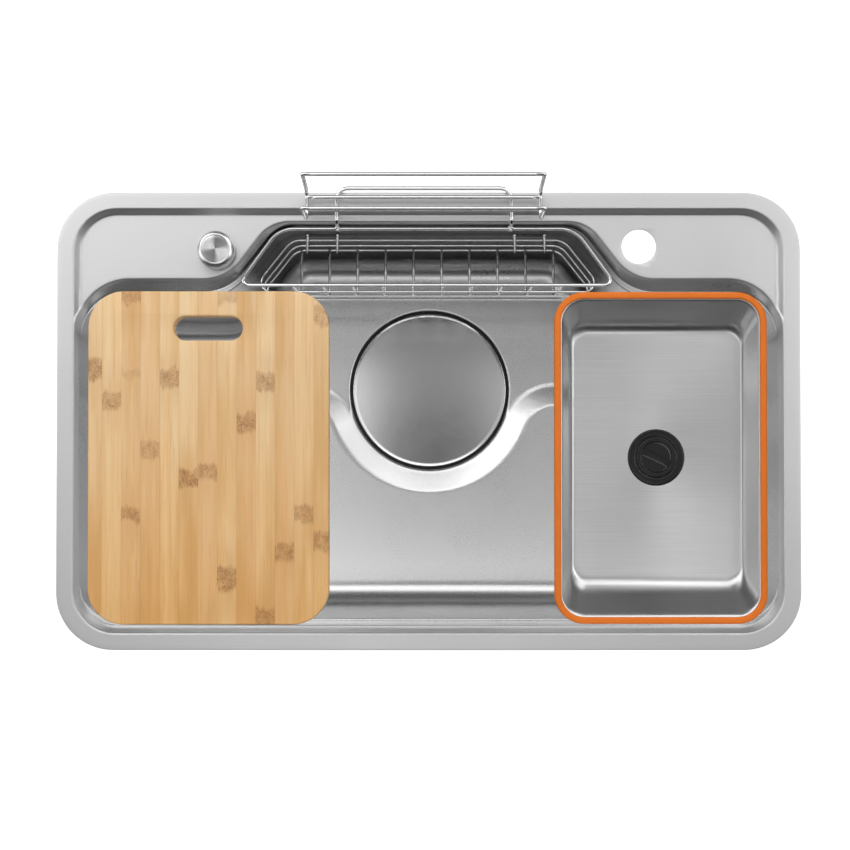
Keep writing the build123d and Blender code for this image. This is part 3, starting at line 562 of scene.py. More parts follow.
# ---------------------------------------------------------------- materials
class Mat:
    """A node material on object coordinates, which are metres in the shared frame."""

    def __init__(self, name, metallic=0.0, roughness=0.5, specular=None):
        self.m = bpy.data.materials.new(name)
        self.m.use_nodes = True
        self.nt = self.m.node_tree
        self.nt.nodes.clear()
        out = self.nt.nodes.new("ShaderNodeOutputMaterial")
        self.bsdf = self.nt.nodes.new("ShaderNodeBsdfPrincipled")
        self.nt.links.new(self.bsdf.outputs[0], out.inputs[0])
        self.bsdf.inputs["Metallic"].default_value = metallic
        self.bsdf.inputs["Roughness"].default_value = roughness
        if specular is not None:
            self.bsdf.inputs["Specular IOR Level"].default_value = specular
        self.coord = self.nt.nodes.new("ShaderNodeTexCoord").outputs["Object"]

    def put(self, socket, value):
        if isinstance(value, bpy.types.NodeSocket):
            self.nt.links.new(value, socket)
        else:
            socket.default_value = value

    def mapped(self, scale=(1, 1, 1), loc=(0, 0, 0), rot=(0, 0, 0), src=None):
        n = self.nt.nodes.new("ShaderNodeMapping")
        n.inputs["Scale"].default_value = scale
        n.inputs["Location"].default_value = loc
        n.inputs["Rotation"].default_value = rot
        self.nt.links.new(src or self.coord, n.inputs["Vector"])
        return n.outputs[0]

    def noise(self, scale, detail=3.0, rough=0.55, distort=0.0, loc=(0, 0, 0), rot=(0, 0, 0)):
        if np.isscalar(scale):
            scale = (scale,) * 3
        n = self.nt.nodes.new("ShaderNodeTexNoise")
        n.inputs["Scale"].default_value = 1.0
        n.inputs["Detail"].default_value = detail
        n.inputs["Roughness"].default_value = rough
        n.inputs["Distortion"].default_value = distort
        self.nt.links.new(self.mapped(scale, loc, rot), n.inputs["Vector"])
        return n.outputs["Fac"]

    def math(self, op, a, b=0.0, c=0.0, clamp=False):
        n = self.nt.nodes.new("ShaderNodeMath")
        n.operation = op
        n.use_clamp = clamp
        for s, v in zip(n.inputs, (a, b, c)):
            self.put(s, v)
        return n.outputs[0]

    def remap(self, v, a0, a1, b0, b1, smooth=False):
        n = self.nt.nodes.new("ShaderNodeMapRange")
        n.interpolation_type = "SMOOTHSTEP" if smooth else "LINEAR"
        for s, x in zip(n.inputs, (v, a0, a1, b0, b1)):
            self.put(s, x)
        return n.outputs[0]

    def ramp(self, fac, stops):
        n = self.nt.nodes.new("ShaderNodeValToRGB")
        cr = n.color_ramp
        while len(cr.elements) < len(stops):
            cr.elements.new(0.5)
        for e, (p, c) in zip(cr.elements, stops):
            e.position = p
            e.color = tuple(c) + (1.0,) if len(c) == 3 else c
        self.nt.links.new(fac, n.inputs[0])
        return n.outputs[0]

    def mix(self, fac, a, b, mode="MIX"):
        n = self.nt.nodes.new("ShaderNodeMix")
        n.data_type = "RGBA"
        n.blend_type = mode
        self.put(n.inputs[0], fac)
        for s, v in ((n.inputs[6], a), (n.inputs[7], b)):
            if isinstance(v, (tuple, list)) and len(v) == 3:
                v = tuple(v) + (1.0,)
            self.put(s, v)
        return n.outputs[2]

    def split(self, src=None):
        n = self.nt.nodes.new("ShaderNodeSeparateXYZ")
        self.nt.links.new(src or self.coord, n.inputs[0])
        return n.outputs[0], n.outputs[1], n.outputs[2]

    def bump(self, height, strength=0.1, distance=0.0002, normal=None):
        n = self.nt.nodes.new("ShaderNodeBump")
        n.inputs["Strength"].default_value = strength
        n.inputs["Distance"].default_value = distance
        self.nt.links.new(height, n.inputs["Height"])
        if normal is not None:
            self.nt.links.new(normal, n.inputs["Normal"])
        return n.outputs[0]

    def set(self, **kw):
        names = {"color": "Base Color", "rough": "Roughness", "normal": "Normal"}
        for k, v in kw.items():
            if isinstance(v, (tuple, list)) and len(v) == 3 and k == "color":
                v = tuple(v) + (1.0,)
            self.put(self.bsdf.inputs[names.get(k, k)], v)
        return self


def grey(v, warm=0.0):
    return (v * (1 + warm), v, v * (1 - warm))


def satin_steel(name, tone, rough, speck=0.03, speck_scale=950.0, stretch=(1, 1, 1), warm=0.0, bump=0.05, deep_rough=None, recess=None):
    """Satin sheet; deep_rough is the smoother finish below the deck, recess a painted shade: the darker colour of the
    recess walls, with darker reflections there and on the side walls.
    """
    m = Mat(name, metallic=1.0)
    fine = m.noise(tuple(speck_scale * s for s in stretch), detail=3.0, rough=0.7)
    cloud = m.noise(9.0, detail=3.0, rough=0.5)
    both = m.math("ADD", m.math("MULTIPLY", m.math("SUBTRACT", fine, 0.5), 1.0), m.math("MULTIPLY", m.math("SUBTRACT", cloud, 0.5), 0.35))
    shade = m.remap(both, -0.5, 0.5, 0.0, 1.0)
    color = m.ramp(shade, [(0.0, grey(tone * (1 - speck * 2), warm)), (1.0, grey(min(1.0, tone * (1 + speck * 2)), warm))])
    if recess is not None:
        x, y, z = m.split()
        deep = m.math("MULTIPLY", m.remap(z, -0.008, -0.018, 0.0, 1.0, True), m.remap(z, -0.203, -0.176, 0.0, 1.0, True))
        # only the faces that look into the bowl, not the outer side of the sheet
        nx, ny, _ = m.split(m.nt.nodes.new("ShaderNodeNewGeometry").outputs["True Normal"])
        away = m.math("ADD", m.math("MULTIPLY", nx, x), m.math("MULTIPLY", ny, m.math("SUBTRACT", y, 0.05)))
        deep = m.math("MULTIPLY", deep, m.remap(away, 0.005, 0.03, 1.0, 0.0))
        # painted shade: the colour of the recess walls is darkened by the recess tone, as if shaded under the basket
        far = m.math("MULTIPLY", deep, m.remap(y, 0.138, 0.168, 0.0, 1.0, True))
        color = m.mix(far, color, (recess, recess, recess), "MULTIPLY")
        # painted shade in the reflections: a darker specular tint on the steep side walls, darker still in the recess
        side = m.math("MULTIPLY", deep, m.remap(m.math("ABSOLUTE", x), 0.335, 0.36, 0.0, 1.0, True))
        reflection_shade = m.mix(far, (1.0, 1.0, 1.0), (0.4, 0.4, 0.4))
        m.put(m.bsdf.inputs["Specular Tint"], m.mix(side, reflection_shade, (0.72, 0.72, 0.72), "MULTIPLY"))
    m.set(color=color)
    vary = m.math("ADD", m.remap(fine, 0.25, 0.75, -0.04, 0.04), m.remap(cloud, 0.3, 0.7, -0.02, 0.02))
    level = rough if deep_rough is None else m.remap(m.split()[2], -0.012, -0.006, deep_rough, rough)
    m.set(rough=m.math("ADD", vary, level))
    m.set(normal=m.bump(fine, bump, 0.0003))
    return m


def brushed_steel(name, tone, rough, along="X", speck=0.05, fine=1500.0, coarse=16.0, aniso=0.5, warm=0.0, bump=0.12):
    m = Mat(name, metallic=1.0)
    sc = (coarse, fine, fine) if along == "X" else (fine, coarse, fine)
    streak = m.noise(sc, detail=4.0, rough=0.7)
    cloud = m.noise(11.0, detail=2.0)
    shade = m.math("ADD", streak, m.math("MULTIPLY", m.math("SUBTRACT", cloud, 0.5), 0.3))
    m.set(color=m.ramp(shade, [(0.25, grey(tone * (1 - speck), warm)), (0.75, grey(min(1.0, tone * (1 + speck)), warm))]))
    m.set(rough=m.remap(streak, 0.3, 0.7, rough - 0.05, rough + 0.05))
    m.set(normal=m.bump(streak, bump, 0.0002))
    m.bsdf.inputs["Anisotropic"].default_value = aniso
    return m


def chrome(name, tone=0.82, rough=0.065):
    m = Mat(name, metallic=1.0)
    n = m.noise(380.0, detail=3.0, rough=0.6)
    m.set(color=m.ramp(n, [(0.2, grey(tone * 0.95)), (0.8, grey(tone))]))
    m.set(rough=m.remap(n, 0.3, 0.7, rough - 0.03, rough + 0.05))
    m.set(normal=m.bump(m.noise(700.0, detail=2.0), 0.03, 0.0002))
    return m


def plastic(name, color, rough=0.5, grain=900.0, vary=0.12, bump=0.12, specular=0.5):
    m = Mat(name, specular=specular)
    n = m.noise(grain, detail=3.0, rough=0.6)
    big = m.noise(22.0, detail=2.0)
    lo, hi = tuple(c * (1 - vary) for c in color), tuple(min(1.0, c * (1 + vary)) for c in color)
    m.set(color=m.mix(0.5, m.ramp(n, [(0.3, lo), (0.7, hi)]), m.ramp(big, [(0.3, lo), (0.7, hi)])))
    m.set(rough=m.remap(n, 0.3, 0.7, rough - 0.07, rough + 0.07))
    m.set(normal=m.bump(n, bump, 0.0003))
    return m


def spun_steel(name, centre, tone, rough):
    """Turned face: fine rings round the centre, an anisotropic shine and painted highlight sectors."""
    m = Mat(name, metallic=1.0)
    x, y, z = m.split()
    dx, dy = m.math("SUBTRACT", x, centre[0] * MM), m.math("SUBTRACT", y, centre[1] * MM)
    r = m.math("SQRT", m.math("ADD", m.math("MULTIPLY", dx, dx), m.math("MULTIPLY", dy, dy)))
    n = m.nt.nodes.new("ShaderNodeTexNoise")
    n.noise_dimensions = "1D"
    n.inputs["Scale"].default_value = 4200.0
    n.inputs["Detail"].default_value = 3.0
    m.put(n.inputs["W"], r)
    rings = n.outputs["Fac"]
    # painted highlight: two light and two dark sectors in the base colour, standing in for the spun face's reflection
    # of the back-left light
    turn = m.math("SUBTRACT", m.math("ARCTAN2", dy, dx), math.radians(142.0))
    highlight_sector = m.remap(m.math("COSINE", m.math("MULTIPLY", turn, 2.0)), -0.6, 0.6, 0.0, 1.0, True)
    light = m.ramp(rings, [(0.3, grey(tone * 0.9)), (0.7, grey(tone))])
    dark = m.ramp(rings, [(0.3, grey(tone * 0.3)), (0.7, grey(tone * 0.4))])
    m.set(color=m.mix(highlight_sector, dark, light))
    m.set(rough=m.remap(rings, 0.3, 0.7, rough - 0.05, rough + 0.05))
    m.set(normal=m.bump(rings, 0.15, 0.0001))
    m.bsdf.inputs["Anisotropic"].default_value = 0.85
    t = m.nt.nodes.new("ShaderNodeTangent")
    t.direction_type, t.axis = "RADIAL", "Z"
    m.nt.links.new(t.outputs[0], m.bsdf.inputs["Tangent"])
    return m


# knuckles of the bamboo strips: strip number, distance from the board's back edge, half height and strength
KNUCKLES = (
    (0, 84, 12, 1.0), (1, 116, 10, 0.8), (2, 7, 7, 0.7), (2, 88, 5, 0.3), (2, 237, 8, 0.85), (3, 168, 10, 0.65), (4, 91, 11, 0.85),
    (5, 197, 10, 1.0), (6, 191, 9, 0.7), (7, 7, 8, 0.5), (7, 304, 13, 0.95), (8, 139, 11, 0.95), (9, 95, 10, 0.8), (9, 344, 10, 0.8),
    (10, 275, 11, 0.8), (11, 235, 10, 0.75), (12, 25, 11, 0.7), (12, 265, 11, 0.8),
)
BOARD = (-359.8, -105.2, -214.4, 137.6)
STRIPS = 13


def bamboo(name):
    m = Mat(name, specular=0.35)
    x, y, z = m.split()
    width = (BOARD[1] - BOARD[0]) / 12.55
    start = BOARD[0] - 0.25 * width
    pos = m.math("DIVIDE", m.math("SUBTRACT", x, start * MM), width * MM)
    strip = m.math("FLOOR", pos)
    across = m.math("SUBTRACT", pos, strip)
    hashed = m.nt.nodes.new("ShaderNodeTexWhiteNoise")
    hashed.noise_dimensions = "1D"
    m.put(hashed.inputs["W"], m.math("ADD", strip, 3.7))
    tone = hashed.outputs["Value"]
    # each strip has fibres of its own
    shift = m.nt.nodes.new("ShaderNodeCombineXYZ")
    m.put(shift.inputs[0], x)
    m.put(shift.inputs[1], m.math("ADD", y, m.math("MULTIPLY", strip, 0.37)))
    m.put(shift.inputs[2], z)

    def strand(sx, sy, detail=3.0, rough=0.6):
        n = m.nt.nodes.new("ShaderNodeTexNoise")
        n.inputs["Scale"].default_value = 1.0
        n.inputs["Detail"].default_value = detail
        n.inputs["Roughness"].default_value = rough
        m.nt.links.new(m.mapped((sx, sy, sx), src=shift.outputs[0]), n.inputs["Vector"])
        return n.outputs["Fac"]

    fibre = strand(620.0, 7.0, 4.0, 0.7)
    broad = strand(150.0, 3.0, 2.0)
    pores = strand(1500.0, 26.0, 2.0)
    tall = strand(60.0, 5.0, 3.0)
    long_tone = strand(34.0, 4.0, 2.0)
    light, mid, dark = (1.0, 0.78, 0.48), (0.97, 0.64, 0.32), (0.82, 0.47, 0.18)
    base = m.ramp(m.math("ADD", m.math("MULTIPLY", fibre, 0.45), m.math("MULTIPLY", broad, 0.55)), [(0.3, dark), (0.47, mid), (0.68, light)])
    base = m.mix(m.remap(tone, 0.0, 1.0, 0.1, 0.55), base, m.ramp(tall, [(0.3, (0.95, 0.65, 0.34)), (0.7, (1.0, 0.80, 0.54))]))
    base = m.mix(m.math("MULTIPLY", m.math("GREATER_THAN", tone, 0.66), 0.22), base, (0.80, 0.50, 0.26), "MULTIPLY")
    base = m.mix(m.remap(long_tone, 0.47, 0.66, 0.0, 0.58), base, (0.74, 0.40, 0.13))
    base = m.mix(m.remap(pores, 0.58, 0.78, 0.0, 0.42), base, (0.52, 0.27, 0.095))
    # joint lines between strips, stronger on some stretches than on others
    seam = m.math("MINIMUM", across, m.math("SUBTRACT", 1.0, across))
    line_mix = m.math("MULTIPLY", m.remap(seam, 0.0, 0.035, 1.0, 0.0), m.remap(tall, 0.38, 0.62, 0.06, 0.3))
    base = m.mix(line_mix, base, (0.46, 0.21, 0.075))
    # knuckles: a tinted patch with fine curled fibres, and a faint stain along the strip on both sides of it
    mask, stain = None, None
    rag = m.math("MULTIPLY", m.math("SUBTRACT", strand(900.0, 40.0, 3.0), 0.5), 0.014)
    bow = m.math("MULTIPLY", m.math("SUBTRACT", strand(95.0, 20.0, 1.0), 0.5), 0.016)
    yy = m.math("ADD", y, m.math("ADD", rag, bow))
    for s, dist, tall_half, weight in KNUCKLES:
        yc = (BOARD[3] - dist) * MM
        inside = m.math("COMPARE", strip, float(s), 0.5)
        away = m.math("ABSOLUTE", m.math("SUBTRACT", yy, yc))
        one = m.math("MULTIPLY", inside, m.remap(away, tall_half * 0.7 * MM, tall_half * 1.1 * MM, weight, 0.0))
        two = m.math("MULTIPLY", inside, m.remap(away, tall_half * MM, (tall_half + 42.0) * MM, weight, 0.0, True))
        mask = one if mask is None else m.math("MAXIMUM", mask, one)
        stain = two if stain is None else m.math("MAXIMUM", stain, two)
    base = m.mix(m.math("MULTIPLY", stain, m.remap(broad, 0.35, 0.65, 0.05, 0.34)), base, (0.66, 0.36, 0.135))
    curl = strand(460.0, 300.0, 2.5, 0.6)
    lines = m.remap(m.math("ABSOLUTE", m.math("SUBTRACT", curl, 0.5)), 0.0, 0.075, 1.0, 0.0)
    patch = m.mix(m.remap(strand(140.0, 90.0, 2.0), 0.3, 0.7, 0.25, 0.75), base, (0.50, 0.235, 0.09))
    knot = m.mix(m.math("MULTIPLY", lines, m.remap(strand(260.0, 160.0, 2.0), 0.35, 0.65, 0.15, 0.9)), patch, (0.25, 0.095, 0.034))
    base = m.mix(mask, base, knot)
    # painted shade: the board is darker and redder towards the front, where less of the light falls
    base = m.mix(m.remap(y, 0.04, -0.2, 0.0, 1.0), base, (1.0, 0.86, 0.64), "MULTIPLY")
    m.set(color=base)
    m.set(rough=m.remap(fibre, 0.3, 0.7, 0.42, 0.58))
    grain = m.math("ADD", m.math("MULTIPLY", fibre, 0.6), m.math("MULTIPLY", m.remap(seam, 0.0, 0.04, 0.0, 1.0), 0.5))
    m.set(normal=m.bump(grain, 0.12, 0.0004))
    return m


M_SINK = satin_steel("sink_satin", 0.68, 0.45, bump=0.025, deep_rough=0.29, recess=0.33)
M_COVER = satin_steel("cover_satin", 0.73, 0.16, speck=0.06, speck_scale=700.0)
M_PAN = brushed_steel("pan_brushed", 0.69, 0.34, along="X", speck=0.09, coarse=9.0, bump=0.08)
M_CHROME = chrome("wire_chrome", 0.96)
M_KNOB = chrome("knob_chrome", 0.92, 0.3)
M_SPUN = spun_steel("knob_spun", KNOB, 0.85, 0.28)
M_BAMBOO = bamboo("board_bamboo")
M_ORANGE = plastic("rim_silicone", (0.9, 0.215, 0.022), 0.55, grain=500.0, vary=0.06, bump=0.06, specular=0.25)
M_BLACK = plastic("black_moulded", (0.008, 0.008, 0.009), 0.24, grain=800.0, vary=0.25, bump=0.05, specular=0.4)
M_RUBBER = plastic("black_seal", (0.018, 0.018, 0.018), 0.7, grain=700.0, vary=0.25)
M_WHITE = plastic("white_moulded", (0.78, 0.78, 0.76), 0.45, vary=0.04)
M_PAD = plastic("damping_pad", (0.16, 0.16, 0.17), 0.85, grain=260.0, vary=0.3, bump=0.4)
M_ZINC = satin_steel("zinc_plate", 0.5, 0.35, speck=0.08, speck_scale=420.0, warm=0.01)
M_PLATE = satin_steel("plate_satin", 0.06, 0.3, speck=0.4, speck_scale=520.0)
SLOT_MATERIALS = {
    "stainless": M_SINK, "brushed_cover": M_COVER, "pan_steel": M_PAN, "spun_steel": M_SPUN, "chrome_knob": M_KNOB,
    "chrome_wire": M_CHROME, "dark_plate": M_PLATE, "zinc_steel": M_ZINC, "black_plastic": M_BLACK, "white_plastic": M_WHITE,
    "black_rubber": M_RUBBER, "grey_pad": M_PAD, "orange_silicone": M_ORANGE, "bamboo": M_BAMBOO,
}
for sub in frame["record"]["subparts"]:
    ob = NODES[sub["node"]]
    ob.data.materials.clear()
    ob.data.materials.append(SLOT_MATERIALS[sub["material_slot"]].m)


# ---------------------------------------------------------------- sink
skin, _, _ = make_skin()
cut_holes(skin)
finish_piece(skin, "sink", M_SINK.m, ("sink_top", "bowl_shell"))

# damping pads stuck under the floor, following its fall
b = Build()
for cx, cy, w, d in ((-245.0, -75.0, 180.0, 150.0), (0.0, -135.0, 210.0, 90.0), (245.0, -75.0, 180.0, 150.0)):
    rows = []
    for g, up in ((0.0, -1.05), (0.0, -3.4), (0.25, -3.9), (0.8, -4.1)):
        o = rounded_rect(cx - w / 2 + g, cx + w / 2 - g, cy - d / 2 + g, cy + d / 2 - g, 12.0 - g, 8, (10, 12))
        rows.append(np.column_stack([o, floor_z(o[:, 0], o[:, 1]) + up]))
    n = len(rows[0])
    mid = np.array([cx, cy])
    top_rows, low_rows = [rows[0]], []
    for f in (0.7, 0.4, 0.15):
        xy = mid + (rows[0][:, :2] - mid) * f
        top_rows.append(np.column_stack([xy, floor_z(xy[:, 0], xy[:, 1]) - 1.05]))
        xy = mid + (rows[-1][:, :2] - mid) * f
        low_rows.append(np.column_stack([xy, floor_z(xy[:, 0], xy[:, 1]) - 4.1]))
    k = b.rows(top_rows[::-1] + rows[1:] + low_rows, True, flip=True)
    count = len(top_rows) + len(rows) - 1 + len(low_rows)
    b.cap(k, n, flip=False)
    b.cap(k + (count - 1) * n, n, flip=True)
finish_piece(add_object("damping_pads", b.v, b.f, 50), "sink", M_PAD.m, ("sound_pads",))

# ---------------------------------------------------------------- knob
b = Build()
lathe(b, *KNOB, [
    (4.0, -1.4), (18.0, -1.4), (18.6, -1.2), (19.0, -0.8), (19.2, -0.3), (19.6, 3.6), (19.9, 6.8), (20.0, 7.6), (19.97, 8.6), (19.82, 9.7), (19.5, 10.8),
    (19.0, 11.8), (18.35, 12.7), (17.6, 13.5), (16.8, 14.15), (16.0, 14.6), (15.3, 14.88), (14.75, 14.92), (14.45, 14.7), (14.3, 14.2), (14.3, 14.0), (4.0, 14.0),
])
finish_piece(add_object("knob_shell", b.v, b.f, 50), "knob", M_KNOB.m, ("control_knob",))
b = Build()
s = lathe(b, *KNOB, [(0.3, 14.0), (14.25, 14.0), (14.25, 14.45), (14.05, 14.7), (13.6, 14.8), (10.0, 14.76), (5.0, 14.7), (0.3, 14.66)], close=False)
b.cap(s, 96, flip=False)
b.cap(s + 7 * 96, 96, flip=True)
finish_piece(add_object("knob_disc", b.v, b.f, 50), "knob", M_SPUN.m, ("knob_face",))

# ---------------------------------------------------------------- drain cover
b = Build()
s = lathe(b, *DRAIN, [
    *[(r, -204.2 + COVER_DOME * (1 - (r / 91.2) ** 2)) for r in (0.4, 20.0, 40.0, 60.0, 75.0, 86.0)],
    (90.4, -204.2), (91.2, -204.6), (91.3, -206.2), (92.5, -206.2), (92.5, -203.7), (92.42, -203.35), (92.15, -203.12),
    *[(r, -203.0 + COVER_DOME * (1 - (r / 91.7) ** 2)) for r in (91.7, 88.0, 83.0, 75.0, 65.0, 55.0, 45.0, 35.0, 25.0, 15.0, 7.0, 0.4)],
], seg=144, close=False)
b.cap(s, 144, flip=False)
b.cap(s + 24 * 144, 144, flip=True)
finish_piece(add_object("cover_plate", b.v, b.f, 50), "cover", M_COVER.m, ("drain_cover",))

# ---------------------------------------------------------------- basket
RIM_Z = LEDGE_Z + 0.3 + 1.9
LOOP_INSET, LOOP_FRONT = 5.2, 0.3


def basket_loop(cx, front_half, back_half, y0, y1, front_r, back_r, z):
    pts = [(cx - front_half, y0), (cx - back_half, y1), (cx + back_half, y1), (cx + front_half, y0)]
    return subdivide(loop_fillet(pts, [front_r, back_r, back_r, front_r], z), 12.0, closed=True)


b = Build()
tube(b, basket_loop(-2.0, 201.5, 157.5, 145.8, 206.2, 6.0, 30.0, RIM_Z), 1.9, closed=True)
finish_piece(add_object("basket_rim_wire", b.v, b.f), "basket", M_CHROME.m, ("basket_rim",))
b = Build()
for z in (-62.5, -91.5, -117.5):
    tube(b, basket_loop(BASKET_X, 202.0 - LOOP_INSET * 1.25, 156.5 - LOOP_INSET * 1.25, 145.8 + LOOP_FRONT, 206.2 - LOOP_INSET * 0.55, 11.0, 26.0 - LOOP_INSET, z), 1.3, closed=True, seg=14)
finish_piece(add_object("basket_ring_wires", b.v, b.f), "basket", M_CHROME.m, ("basket_loops",))
b = Build()
wire_z, rib_y, back_y = -117.5 + 2.6, 145.8 + 0.3 + 2.6, 206.2 - LOOP_INSET * 0.55
for i in range(10):
    x = BASKET_X + (i - 4.5) * 32.0
    p = path_fillet([(x, back_y + 0.2, wire_z), (x, rib_y, wire_z), (x, 146.3, RIM_Z - 1.6)], 9.0, seg=10)
    tube(b, subdivide(p, 12.0), 1.5, seg=14)
finish_piece(add_object("basket_cross_wires", b.v, b.f), "basket", M_CHROME.m, ("basket_floor_wires", "basket_front_ribs"))
b, plates = Build(), Build()
up_y, up_top = back_y - 2.6, RIM_Z - 6.0
for pair in (((-129.8, -139.0), (-97.8, -104.7)), ((92.1, 99.2), (124.1, 133.5))):
    for x_top, x_low in pair:
        tube(b, subdivide(np.array([(x_low, up_y, -118.0), (x_top, up_y, up_top - 0.9)]), 12.0), 1.5, seg=14)
    o = rounded_rect(pair[0][0] + 0.6, pair[1][0] - 0.6, up_top - 8.0, up_top - 2.0, 1.8, 5, (2, 2))
    rows = []
    for g, dy in ((0.5, -1.2), (0.0, -0.8), (0.0, 0.8), (0.5, 1.2)):
        c = o.mean(0)
        k = 1 - g / np.array([15.4, 3.0])
        rows.append([(c[0] + (p[0] - c[0]) * k[0], up_y + dy, c[1] + (p[1] - c[1]) * k[1]) for p in o])
    s = plates.rows(rows, True)
    plates.cap(s, len(o), flip=True)
    plates.cap(s + 3 * len(o), len(o), flip=False)
finish_piece(add_object("basket_upright_wires", b.v, b.f), "basket", M_CHROME.m, ("basket_uprights",))
finish_piece(add_object("basket_plates", plates.v, plates.f), "basket", M_PLATE.m, ("basket_hanger_plates",))

# ---------------------------------------------------------------- rack
b = Build()
for y, z in ((244.9, 57.5), (210.5, 57.5), (233.3, 9.2), (220.7, 9.2)):
    tube(b, subdivide(np.array([(RACK_X0 + 1.0, y, z), (RACK_X1 - 1.0, y, z)]), 12.0), 2.1)
finish_piece(add_object("rack_rail_wires", b.v, b.f), "rack", M_CHROME.m, ("rack_rails",))
b = Build()
for x in (RACK_X0, RACK_X1):
    p = path_fillet([(x, 244.85, 58.2), (x, 239.6, 9.2), (x, 210.0, 9.2), (x, 210.5, 58.2)], 9.0, seg=10)
    tube(b, subdivide(p, 10.0), 2.1)
finish_piece(add_object("rack_end_hoops", b.v, b.f), "rack", M_CHROME.m, ("rack_end_wires",))
b = Build()
loop_z, hook_z = RIM_TOP + 0.4 + 2.1, RIM_Z + 1.9 + 2.2
p = path_fillet(
    [(-96.6, 206.2, hook_z + 1.3), (-96.6, 206.2, loop_z), (-96.6, 243.6, loop_z), (87.0, 243.6, loop_z), (87.0, 206.2, loop_z), (87.0, 206.2, hook_z + 1.3)],
    [7.0, 12.0, 12.0, 7.0], seg=10,
)
tube(b, subdivide(p, 10.0), 2.1)
finish_piece(add_object("rack_carrier_loop", b.v, b.f), "rack", M_CHROME.m, ("rack_support_loop",))
# hooks over the basket's back wire: a bent strip with a collar round the end of the loop
b = Build()
for x in (-96.6, 87.0):
    rows = []
    for t in np.radians(np.linspace(-16.0, 196.0, 22)):
        row = []
        for u in np.linspace(0, 2 * PI, 17)[:-1]:
            cu, su = math.cos(u), math.sin(u)
            across = 2.65 * math.copysign(abs(cu) ** 0.45, cu)
            r = 2.5 + 0.29 * math.copysign(abs(su) ** 0.45, su)
            row.append((x + across, 206.2 + r * math.cos(t), RIM_Z + r * math.sin(t)))
        rows.append(row)
    s = b.rows(rows, True)
    b.cap(s, 16, flip=True)
    b.cap(s + 21 * 16, 16, flip=False)
    lathe(b, x, 206.2, [(2.12, hook_z - 1.2), (2.5, hook_z - 1.2), (2.65, hook_z - 0.9), (2.65, hook_z + 2.3), (2.5, hook_z + 2.8), (2.12, hook_z + 2.9)], seg=28)
finish_piece(add_object("rack_hook_clips", b.v, b.f), "rack", M_CHROME.m, ("rack_hook_saddles",))


# ---------------------------------------------------------------- board
def stadium(cx, cy, w, h, n=16):
    r, d = h / 2, (w - h) / 2
    return np.concatenate([arc(cx + d, cy, r, -PI / 2, PI / 2, n), arc(cx - d, cy, r, PI / 2, 1.5 * PI, n)])


def board_piece():
    from mathutils.geometry import tessellate_polygon
    z0, z1, e = LEDGE_Z + 0.3, LEDGE_Z + 14.3, 2.0
    x0, x1, y0, y1 = BOARD
    steps = [(e * (1 - math.sin(t)), e * (1 - math.cos(t))) for t in np.linspace(0, PI / 2, 5)]
    prof = [(i, z0 + h) for i, h in steps] + [(i, z1 - h) for i, h in reversed(steps)]
    b = Build()
    outer = [np.column_stack([rounded_rect(x0 + i, x1 - i, y0 + i, y1 - i, 38.0 - i, 16, (12, 16)), np.full(16 * 4 + 2 * 28, z)]) for i, z in prof]
    so = b.rows(outer, True, flip=True)
    hole = [np.column_stack([stadium(-233.0, 98.1, 73.0 + 2 * i, 25.6 + 2 * i), np.full(32, z)]) for i, z in prof]
    sh = b.rows(hole, True, flip=False)
    no, nh, last = len(outer[0]), 32, len(prof) - 1
    for row, flip in ((0, True), (last, False)):
        o, h = outer[row], hole[row]
        tris = tessellate_polygon([[Vector(p) for p in o], [Vector(p) for p in h]])
        index = [so + row * no + i for i in range(no)] + [sh + row * nh + i for i in range(nh)]
        for t in tris:
            a, c, d = (index[i] for i in t)
            pa, pc, pd = (np.array(b.v[k][:2]) for k in (a, c, d))
            ccw = (pc[0] - pa[0]) * (pd[1] - pa[1]) - (pc[1] - pa[1]) * (pd[0] - pa[0]) > 0
            b.f.append((a, c, d) if ccw != flip else (d, c, a))
    return add_object("board_slab", b.v, b.f, 50)


finish_piece(board_piece(), "board", M_BAMBOO.m, ("cutting_board",))

# ---------------------------------------------------------------- pan
PAN = (133.5, 359.5, -214.6, 138.0)
PAN_FLANGE_Z, PAN_T, PAN_DEPTH = -16.7, 0.8, 38.0
PAN_FLOOR = -16.7 + 0.8 - 38.0
PAN_OPEN = np.array([PAN[0] + 8.5, PAN[1] - 8.5, PAN[2] + 8.5, PAN[3] - 8.5, 23.5])
PAN_FOOT = np.array([154.8, 343.5, -176.0, 105.5, 18.0])


